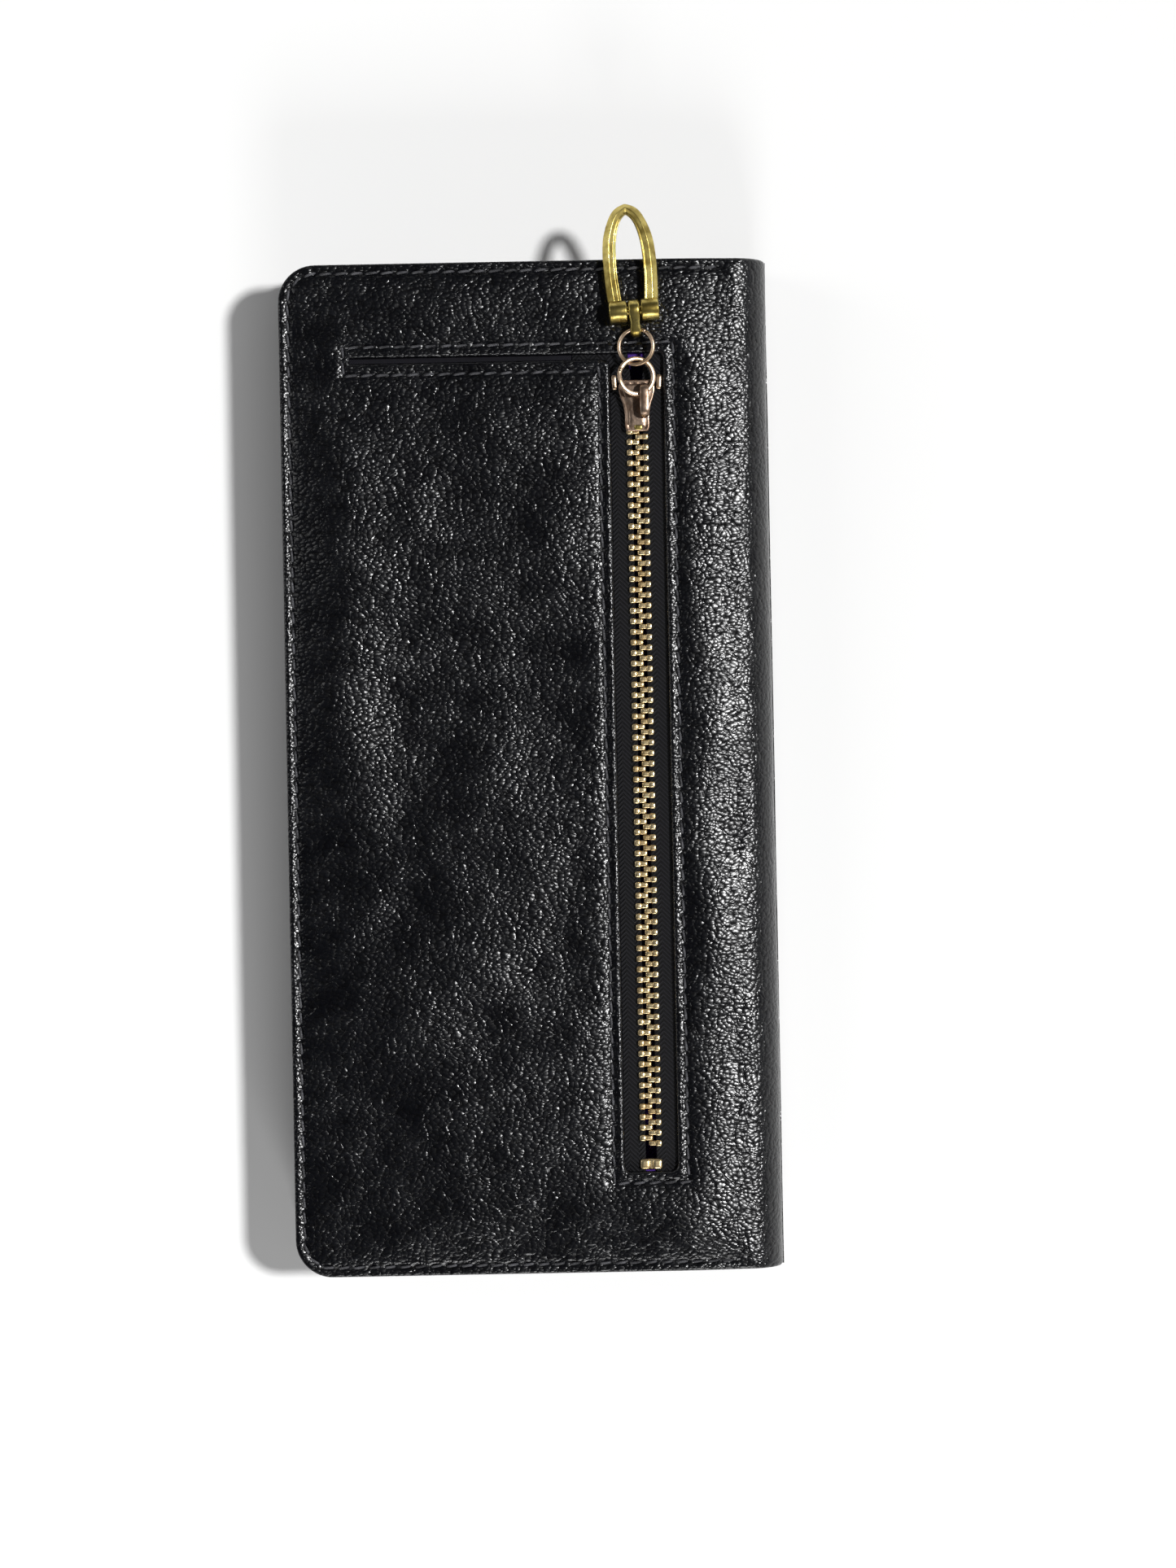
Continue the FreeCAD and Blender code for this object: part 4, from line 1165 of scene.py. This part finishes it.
def tape_piece(side):
    """Tape with a corded inner edge that carries the teeth."""
    node = "zip_tape_left" if side < 0 else "zip_tape_right"
    outer_x = low(node)[0] if side < 0 else high(node)[0]
    inner_x = high(node)[0] if side < 0 else low(node)[0]
    gap = abs(inner_x - ZIP_X)
    run = [(ZIP_X + side * (gap + TAPE_PART * max(0.0, y - SLIDER_HEAD)), y)
           for y in np.arange(ZIP_FOOT, ZIP_HEAD + 0.01, 2.0)]
    loop = filled(run + [(outer_x, ZIP_HEAD), (outer_x, ZIP_FOOT)], 2.0, closed=True)
    cord = np.array(run)

    def lift(p):
        near = distance_to(p, cord)
        return CORD_RISE * np.exp(-((np.maximum(near - CORD_HALF, 0) / CORD_SLOPE) ** 2)) - 0.02

    rows = beside(cord + (side * CORD_IN, 0), (-0.5, 0.0, 0.5, 1.1), 1.5)
    points, faces, _ = slab(loop, [], ZIP_FACE - TAPE_THICK, ZIP_FACE, 0.15, 2.2, rows, lift)
    piece = make(node + "_piece", points, faces, TAPE, "front_half", (node,))
    return piece


BOX_CUTS = 6


def smooth_box(size, edge):
    """Rounded block round the origin, as (points, faces), from a gridded cube."""
    half = np.array(size) / 2
    core = np.maximum(half - edge, 0.01)
    grid = np.linspace(-1, 1, BOX_CUTS)
    points = []
    faces = []
    index = {}

    def spot(direction):
        key = tuple(np.round(direction, 5))
        if key not in index:
            index[key] = len(points)
            base = np.clip(direction * half, -core, core)
            points.append(base + unit(direction * half - base) * edge)
        return index[key]

    for axis in range(3):
        for face_side in (-1, 1):
            for i in range(len(grid) - 1):
                for j in range(len(grid) - 1):
                    corners = []
                    for a, b in ((i, j), (i + 1, j), (i + 1, j + 1), (i, j + 1)):
                        d = np.zeros(3)
                        d[axis] = face_side
                        d[(axis + 1) % 3] = grid[a]
                        d[(axis + 2) % 3] = grid[b]
                        corners.append(spot(d))
                    faces.append(corners if face_side > 0 else corners[::-1])
    return np.array(points), faces


def moved(shape, offset=(0, 0, 0), turn=0.0, scale=(1, 1, 1)):
    """(points, faces) scaled, turned about Z and moved."""
    points, faces = shape
    points = points * np.array(scale, float)
    c, s = math.cos(turn), math.sin(turn)
    x = points[:, 0] * c - points[:, 1] * s
    y = points[:, 0] * s + points[:, 1] * c
    return np.column_stack((x, y, points[:, 2])) + np.array(offset, float), faces


PAD_WIDE = 1.16
NOSE_WIDE = 0.93
PAD_SHARE = 0.5
NOSE_SHARE = 0.66
NOSE_DROP = 0.05
TOOTH_TURN = 0.035
TOOTH_UNEVEN = 0.03


def tooth_row(side):
    """Brass teeth: a broad raised pad on the tape side and a lower nose that meshes."""
    node = "zip_teeth_left" if side < 0 else "zip_teeth_right"
    first = FIRST_LEFT if side < 0 else FIRST_RIGHT
    a, b = low(node)[0], high(node)[0]
    outer, inner = (a, b) if side < 0 else (b, a)
    length = abs(inner - outer)
    height = TEETH_HIGH - TEETH_LOW
    pad = smooth_box((length * PAD_SHARE, PAD_WIDE, height), 0.3)
    nose = smooth_box((length * NOSE_SHARE, NOSE_WIDE, height * 0.74), 0.22)
    pad_x = outer - side * length * PAD_SHARE / 2
    nose_x = inner + side * length * NOSE_SHARE / 2
    parts = []
    for number in range(TOOTH_COUNT):
        y = first - number * TOOTH_PITCH
        wobble = noise.noise(Vector((number * 0.9, side * 3.0, 0.4)))
        turn = TOOTH_TURN * wobble
        middle = (TEETH_LOW + TEETH_HIGH) / 2 + TOOTH_UNEVEN * wobble
        parts.append(moved(pad, (pad_x, y, middle), turn))
        parts.append(moved(nose, (nose_x, y, middle - NOSE_DROP), turn))
    points, faces = joined(parts)
    return make(node + "_piece", points, faces, BRASS, "front_half", (node,))


for side in (-1, 1):
    open_with_slider(tape_piece(side))
    open_with_slider(tooth_row(side))

TOP_STOP_WIDE = 1.05
TOP_STOP_IN = 0.5
TOP_STOP_TURN = 0.06


def top_stop(side):
    """Small block at the head of one row; side is -1 left, 1 right."""
    a, b = low("zip_top_stops"), high("zip_top_stops")
    block = smooth_box((TOP_STOP_WIDE, b[1] - a[1], b[2] - a[2]), 0.32)
    x = a[0] + TOP_STOP_IN if side < 0 else b[0] - TOP_STOP_IN
    middle = (a + b) / 2
    points, faces = moved(block, (x, middle[1], middle[2]), side * -TOP_STOP_TURN)
    name = "zip_top_stop_left" if side < 0 else "zip_top_stop_right"
    return make(name, points, faces, RINGS, "front_half", ("zip_top_stops",))


def bottom_stop():
    """Flat bar across the foot of both rows, with a lip over each."""
    a, b = low("zip_bottom_stop"), high("zip_bottom_stop")
    size, middle = b - a, (a + b) / 2
    parts = [moved(smooth_box(size, 0.4), middle - (0, 0, 0.2), scale=(1, 1, 0.85))]
    lip = smooth_box((size[0] * 0.42, size[1] * 0.9, size[2] * 0.5), 0.3)
    for side in (-1, 1):
        place = (middle[0] + side * size[0] * 0.27, middle[1], b[2] - size[2] * 0.25 - 0.01)
        parts.append(moved(lip, place))
    points, faces = joined(parts)
    make("zip_bottom_stop_piece", points, faces, BRASS, "front_half",
         ("zip_bottom_stop",))


for side in (-1, 1):
    open_with_slider(top_stop(side))
bottom_stop()

# ------------------------------------------------------------------ slider

body_low, body_high = low("slider_body"), high("slider_body")
HALF_SHOULDER = (body_high[0] - body_low[0]) / 2
HALF_TAIL = 2.35
SLIDER_LENGTH = SLIDER_HEAD - SLIDER_TAIL
LOWER_PLATE = 0.6
UPPER_PLATE = 0.7
RIM_IN = 0.75
RIM_HALF = 0.3
RIM_DEPTH = 0.13
CROWN = 0.10
FLANGE_HALF = 0.11
FLANGE_DEEP = 0.42


def slider_half_width(share):
    """Half width of the slider from tail (0) to head (1): tail, waist, broad shoulders, nose."""
    knots = (0.0, 0.08, 0.3, 0.5, 0.66, 0.82, 0.93, 1.0)
    widths = (2.0, HALF_TAIL, 2.3, 2.55, 3.1, HALF_SHOULDER, 3.3, 2.5)
    return np.interp(share, knots, widths)


def slider_outline():
    """The same widths, softened, as a closed outline."""
    shares = np.linspace(0, 1, 41)
    nearby = [slider_half_width(np.clip(shares + d, 0, 1)) for d in (-0.04, -0.02, 0, 0.02, 0.04)]
    smooth = np.minimum(sum(nearby) / len(nearby), HALF_SHOULDER - 0.01)
    ys = SLIDER_TAIL + 0.02 + (SLIDER_LENGTH - 0.04) * shares
    right = np.column_stack((ZIP_X + smooth, ys))
    left = np.column_stack((ZIP_X - smooth, ys))[::-1]
    return filled(np.vstack((right, left)), 0.5, closed=True)


outline = slider_outline()
upper_low = body_high[2] - UPPER_PLATE


def plate_dome(p):
    """Upper plate crowned along its middle, with a shallow step round its rim."""
    across = np.abs(p[:, 0] - ZIP_X)
    crown = -CROWN * (across / HALF_SHOULDER) ** 2
    near = distance_to(p, np.vstack((outline, outline[:1])))
    rim = -RIM_DEPTH * np.clip(1 - np.abs(near - RIM_IN) / RIM_HALF, 0, 1)
    return crown + rim - 0.01


rim_rows = np.vstack([inset(outline, d) for d in (0.45, 0.6, RIM_IN, 0.9, 1.05)])
upper_plate = slab(outline, [], upper_low, body_high[2], 0.3, 0.7, rim_rows, plate_dome,
                   margin=0.25)[:2]
lower_plate = slab(outline, [], body_low[2], body_low[2] + LOWER_PLATE, 0.2, 1.0)[:2]
parts = [upper_plate, lower_plate]
# flanges that turn down from the upper plate and guide the rows
for side in (-1, 1):
    shares = np.linspace(0.1, 0.9, 17)
    path = np.array([
        (ZIP_X + side * (slider_half_width(share) - 0.13),
         SLIDER_TAIL + SLIDER_LENGTH * share, upper_low - 0.05)
        for share in shares
    ])
    parts.append(swept(path, FLANGE_HALF, FLANGE_DEEP, section=10))
# the divider between the plates at the nose
divider = smooth_box((1.1, 1.8, body_high[2] - body_low[2] - 0.5), 0.35)
parts.append(moved(divider, (ZIP_X, SLIDER_HEAD - 1.2, (body_low[2] + body_high[2]) / 2)))
points, faces = joined(parts)
make("slider_body_piece", points, faces, ANTIQUE, "slider", ("slider_body",))

# small bright bump at the tail, where the plating is worn
bump = smooth_box((1.5, 0.9, 0.34), 0.16)
points, faces = moved(bump, (ZIP_X + 0.2, SLIDER_TAIL + 0.75, body_high[2] - 0.11))
make("slider_tail_bump", points, faces, GOLD, "slider")

bridge_low, bridge_high = low("slider_bridge"), high("slider_bridge")
BRIDGE_X = (bridge_low[0] + bridge_high[0]) / 2 + 0.2
BRIDGE_HALF = (bridge_high[0] - bridge_low[0]) / 2 + 0.15
BRIDGE_BASE = bridge_low[2]
BRIDGE_TOP = bridge_high[2]
BRIDGE_UNDER = 22.3
leg = (BRIDGE_TOP - BRIDGE_UNDER) / 2 - 0.04
crest = BRIDGE_TOP - leg - 0.01
# each foot rises and turns over into the crest: distance in from the end, and height
foot = ((0.45, BRIDGE_BASE - 0.3), (0.47, BRIDGE_BASE + 0.7), (0.75, crest - 0.5),
        (1.35, crest - 0.08), (2.3, crest))
tail_foot = [(bridge_low[1] + inward, z) for inward, z in foot]
head_foot = [(bridge_high[1] - inward, z) for inward, z in foot][::-1]
bridge_path = softened(filled(tail_foot + head_foot, 0.18), 6)
path = np.column_stack((np.full(len(bridge_path), BRIDGE_X), bridge_path))
shares = np.linspace(0, 1, len(path))
widths = BRIDGE_HALF * (0.5 + 0.5 * np.sin(math.pi * shares) ** 0.7)


def strap(path, across, thick, power=2.3, section=20):
    """Flat rounded strap along a path in a plane of constant x."""
    ahead = np.gradient(path, axis=0)
    ahead /= np.linalg.norm(ahead, axis=1)[:, None]
    side = np.array((1.0, 0.0, 0.0))
    points = []
    for centre, direction, half in zip(path, ahead, across):
        rise = np.cross(side, direction)
        for k in range(section):
            angle = 2 * math.pi * k / section
            c, s = math.cos(angle), math.sin(angle)
            size = (abs(c) ** power + abs(s) ** power) ** (-1 / power)
            points.append(centre + side * half * c * size + rise * thick * s * size)
    return np.array(points), banded(len(path), section)


points, faces = strap(path, widths, leg)
make("slider_bridge_piece", points, faces, ANTIQUE, "slider", ("slider_bridge",))

# ------------------------------------------------------------------ rings

RING_R = 3.3
LOWER_Y = 72.75
UPPER_Y = 78.3
TILT = math.radians(16)


def tilted(points, centre, tilt):
    """Points of a flat ring tilted about the Y axis through its centre."""
    points = np.array(points, float)
    c, s = math.cos(tilt), math.sin(tilt)
    x = points[:, 0] * c + points[:, 2] * s
    z = -points[:, 0] * s + points[:, 2] * c
    return np.column_stack((x, points[:, 1], z)) + np.array(centre, float)


COIL_STEPS = 150
CRANK = 0.12
COIL_TAPER = 0.02


def flat_coil(radius, half_wide, half_high, rise, turns, start):
    """Split ring: a flattened wire wound for some turns, its ends tapered."""
    shares = np.linspace(0, 1, int(COIL_STEPS * turns))
    angle = start + 2 * math.pi * turns * shares
    # the wire climbs from the lower to the upper coil over a short crank
    before = 2 * math.pi * (turns / 2 - CRANK / 2)
    climb = np.clip((angle - start - before) / (2 * math.pi * CRANK), 0, 1)
    height = rise * (climb * climb * (3 - 2 * climb) - 0.5)
    path = np.column_stack((radius * np.cos(angle), radius * np.sin(angle), height))
    taper = np.clip(np.minimum(shares, 1 - shares) / COIL_TAPER, 0.35, 1)
    return swept(path, half_wide * taper, half_high * taper, section=14)


points, faces = flat_coil(RING_R, half_wide=0.42, half_high=0.19, rise=0.40, turns=1.9,
                          start=math.radians(200))
make("lower_ring_piece", tilted(points, (ZIP_X, LOWER_Y, RING_Z), TILT), faces, RINGS, "lower_link",
     ("lower_ring",))
# the upper ring is a single wire with its ends butted
WIRE_STEPS = 120
WIRE_HALF = 0.38
WIRE_GAP = 0.012
angles = np.linspace(WIRE_GAP, 2 * math.pi - WIRE_GAP, WIRE_STEPS) + math.radians(55)
path = np.column_stack((RING_R * np.cos(angles), RING_R * np.sin(angles), np.zeros(len(angles))))
ends = np.minimum(np.arange(WIRE_STEPS), np.arange(WIRE_STEPS)[::-1])
size = WIRE_HALF * np.clip(0.82 + 0.09 * ends, 0, 1)
points, faces = swept(path, size, size, section=18)
make("upper_ring_piece", tilted(points, (ZIP_X, UPPER_Y, RING_Z), -TILT), faces, RINGS, "upper_link",
     ("upper_ring",))

# ------------------------------------------------------------------ puller


def leaned(points):
    """Points turned with the puller, which leans to the left about its lower link."""
    points = np.array(points, float)
    x = points[:, 0] - ZIP_X
    y = points[:, 1] - LEAN_Y
    c, s = math.cos(LEAN), math.sin(LEAN)
    return np.column_stack((ZIP_X + x * c - y * s, LEAN_Y + x * s + y * c, points[:, 2]))


BARREL = 2.08
EYE_TIP_R = 1.5
FIT = 0.01
EYE_WIDE = 2.2
RING_HOLE = 0.8
PIN_HOLE = 0.95
PIN_R = 0.9
KNUCKLE_OUT = 4.65
KNUCKLE_IN = 1.35


def circle(centre, radius, count=36):
    angles = np.linspace(0, 2 * math.pi, count, endpoint=False)
    return np.column_stack((centre[0] + radius * np.cos(angles), centre[1] + radius * np.sin(angles)))


def convex(points):
    """Outer hull of 2-D points, anticlockwise."""
    ordered = sorted(map(tuple, np.round(points, 6)))

    def chain(run):
        kept = []
        for p in run:
            while len(kept) > 1:
                a, b = kept[-2], kept[-1]
                if (b[0] - a[0]) * (p[1] - a[1]) - (b[1] - a[1]) * (p[0] - a[0]) > 0:
                    break
                kept.pop()
            kept.append(p)
        return kept

    return np.array(chain(ordered)[:-1] + chain(ordered[::-1])[:-1])


# the eye link, drawn in the Y-Z plane and given its width along X
tip = (LEAN_Y, RING_Z)
barrel_round = circle((PIN_Y, PIN_Z), BARREL - FIT)
tip_round = circle(tip, EYE_TIP_R - FIT)
hull = filled(convex(np.vstack((barrel_round, tip_round))), 0.45, closed=True)
holes = [circle((PIN_Y, PIN_Z), PIN_HOLE, 28)[::-1], circle(tip, RING_HOLE, 24)[::-1]]
points, faces, _ = slab(hull, holes, -EYE_WIDE / 2, EYE_WIDE / 2, 0.5, 0.6, margin=0.25,
                         square=lambda loop: np.full(len(loop), 0.8 * (signed_area(loop) < 0)))
# seen from above the eye narrows to a waist and ends in a drop
waist_y = (LEAN_Y - 1.5, LEAN_Y - 1.2, LEAN_Y - 0.5, LEAN_Y + 1.0, PIN_Y - 0.8)
narrow = np.interp(points[:, 0], waist_y, (0.35, 0.7, 0.96, 0.78, 1.0))
points = np.column_stack((ZIP_X + points[:, 2] * narrow, points[:, 0], points[:, 1]))
make("puller_eye_piece", leaned(points), faces, GOLD, "eye_link", ("puller_eye",))


def turned_profile(stations, section=36):
    """Solid of revolution about the pin: stations are (x, radius) from left to right."""
    points = []
    for x, radius in stations:
        for k in range(section):
            angle = 2 * math.pi * k / section
            points.append((ZIP_X + x, PIN_Y + radius * math.cos(angle),
                           PIN_Z + radius * math.sin(angle)))
    return np.array(points), banded(len(stations), section, ends=False)


def knuckle(start, end, outer, bore, edge=0.22):
    """Tube knuckle with rounded rims, as one closed surface round the pin."""
    stations = [(start, bore)]
    stations += [(start + edge * (1 - math.sin(a)), outer - edge * (1 - math.cos(a)))
                 for a in np.linspace(math.pi / 2, 0, 5)]
    stations += [(end - edge * (1 - math.sin(a)), outer - edge * (1 - math.cos(a)))
                 for a in np.linspace(0, math.pi / 2, 5)]
    stations += [(end, bore), (start, bore)]
    return turned_profile(stations)


pin_end = KNUCKLE_OUT - 0.05
pin = turned_profile([
    (-pin_end, 0.0), (-pin_end, PIN_R - 0.2), (-pin_end + 0.15, PIN_R - 0.02),
    (pin_end - 0.15, PIN_R - 0.02), (pin_end, PIN_R - 0.2), (pin_end, 0.0),
])
make("puller_pin_piece", leaned(pin[0]), pin[1], GOLD, "pull_loop", ("puller_pin",))

ARCH_LOW = 20.45
ARCH_HIGH = 22.6
LOOP_OUTER = ((0.4, 4.62), (4.0, 4.9), (8.0, 5.03), (11.0, 4.95), (13.6, 4.7), (16.0, 4.0),
              (18.5, 2.85), (19.6, 1.7), (20.15, 0.0))
LOOP_INNER = ((0.4, 1.92), (3.0, 2.2), (6.0, 2.46), (9.5, 2.5), (12.4, 2.36), (14.5, 2.0),
              (16.4, 1.45), (17.6, 0.8), (18.15, 0.0))


def arch_line(stations):
    """Smooth right-hand half of an arch, then its mirror image: from right foot to left foot."""
    half = softened(filled([(x, y) for y, x in stations], 0.35), 10)
    return np.vstack((half, half[::-1][1:] * (-1, 1)))


def by_length(line, count):
    """Polyline resampled to a count of evenly spaced points."""
    steps = np.linalg.norm(np.diff(line, axis=0), axis=1)
    places = np.concatenate(((0,), np.cumsum(steps)))
    wanted = np.linspace(0, places[-1], count)
    return np.column_stack([np.interp(wanted, places, line[:, k]) for k in (0, 1)])


ARCH_STEPS = 110
outer_line = by_length(arch_line(LOOP_OUTER), ARCH_STEPS)
inner_line = by_length(arch_line(LOOP_INNER), ARCH_STEPS)
# section across a leg: share from outer (0) to inner (1) side, and share of the height
LOOP_SECTION = (
    (0.0, 0.2), (0.0, 0.52), (0.015, 0.58), (0.05, 0.63), (0.36, 0.95), (0.4, 0.985), (0.44, 1.0),
    (0.48, 0.985), (0.52, 0.95), (0.76, 0.72), (0.8, 0.69), (0.84, 0.7), (0.88, 0.75), (0.92, 0.77),
    (0.97, 0.74), (1.0, 0.66), (1.0, 0.2), (0.93, 0.06), (0.85, 0.0), (0.15, 0.0), (0.07, 0.06),
)
points = []
for out, within in zip(outer_line, inner_line):
    for share, level in LOOP_SECTION:
        spot = out + (within - out) * share
        points.append((ZIP_X + spot[0], PIN_Y + spot[1], ARCH_LOW + (ARCH_HIGH - ARCH_LOW) * level))
parts = [(np.array(points), banded(ARCH_STEPS, len(LOOP_SECTION), inward=True))]
for side in (-1, 1):
    start, end = sorted((side * KNUCKLE_IN, side * KNUCKLE_OUT))
    parts.append(knuckle(start + FIT, end - FIT, BARREL - FIT, PIN_HOLE - 2 * FIT))
points, faces = joined(parts)
make("puller_loop_piece", leaned(points), faces, GOLD, "pull_loop", ("puller_loop",))

# ------------------------------------------------------------------ CAD nodes that stay

for node in ("back_stiffener", "front_stiffener"):
    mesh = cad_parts[node].data
    mesh.materials.clear()
    mesh.materials.append(BOARD)

# ------------------------------------------------------------------ floor, camera and light

FLOOR_SIZE = 80
FLOOR_DROP = 0.0004
FLOOR_TONE = (0.93, 0.93, 0.925, 1)
bpy.ops.mesh.primitive_plane_add(size=FLOOR_SIZE, location=(0, 0, -FLOOR_DROP))
floor = bpy.context.object
floor.name = "floor"
paper = Shader("floor_finish", Roughness=0.8, Specular_IOR_Level=0.1, Base_Color=FLOOR_TONE)
floor.data.materials.append(paper.material)

# camera and light, in metres
ROLL = math.radians(1.1)
FRAME_HIGH = 0.294
DISTANCE = 0.75
SENSOR = 24
AIM_RIGHT = 0.01053
AIM_DOWN = 0.00313
KEY_POWER = 2.9
KEY_SPREAD = math.radians(6)
KEY_DIRECTION = Vector((-0.50, -0.07, -0.85))
camera_data = bpy.data.cameras.new("camera")
camera = placed("camera", camera_data)
bpy.context.scene.camera = camera
camera_data.sensor_fit = "VERTICAL"
camera_data.sensor_height = SENSOR
camera_data.lens = SENSOR * (DISTANCE - TOP * MM) / FRAME_HIGH
right = Vector((math.cos(ROLL), -math.sin(ROLL), 0))
upward = Vector((math.sin(ROLL), math.cos(ROLL), 0))
camera.location = right * AIM_RIGHT - upward * AIM_DOWN + Vector((0, 0, DISTANCE))
camera.rotation_euler = (0, 0, -ROLL)


def lamp(name, place, aim, wide, long, power):
    """Soft rectangular studio light aimed at a point."""
    data = bpy.data.lights.new(name, "AREA")
    data.shape = "RECTANGLE"
    data.size = wide
    data.size_y = long
    data.energy = power
    light = placed(name, data)
    light.location = place
    light.rotation_euler = (Vector(aim) - Vector(place)).to_track_quat("-Z", "Y").to_euler()


sun = bpy.data.lights.new("key_light", "SUN")
sun.energy = KEY_POWER
sun.angle = KEY_SPREAD
key = placed("key_light", sun)
key.rotation_euler = KEY_DIRECTION.to_track_quat("-Z", "Y").to_euler()
lamp("left_light", place=(-0.75, 0.3, 0.6), aim=(0, 0, 0.02), wide=0.3, long=0.5, power=1)
lamp("low_light", place=(0.1, -0.85, 0.5), aim=(0.02, -0.03, 0.02), wide=0.3, long=0.25, power=3)

bpy.context.scene.view_settings.view_transform = "Standard"
world = bpy.data.worlds.new("studio")
bpy.context.scene.world = world
world.use_nodes = True
# pale low down all round, fading to a dim ceiling: height of a direction, and its colour
WORLD_TONES = ((0.18, (0.85, 0.85, 0.85, 1)), (0.5, (0.03, 0.03, 0.032, 1)))
sky = world.node_tree.nodes
wires = world.node_tree.links
spot = sky.new("ShaderNodeTexCoord")
split = sky.new("ShaderNodeSeparateXYZ")
shade = sky.new("ShaderNodeValToRGB")
wires.new(spot.outputs["Generated"], split.inputs["Vector"])
wires.new(split.outputs["Z"], shade.inputs["Fac"])
wires.new(shade.outputs["Color"], sky["Background"].inputs["Color"])
for element, (height, tone) in zip(shade.color_ramp.elements, WORLD_TONES):
    element.position = height
    element.color = tone
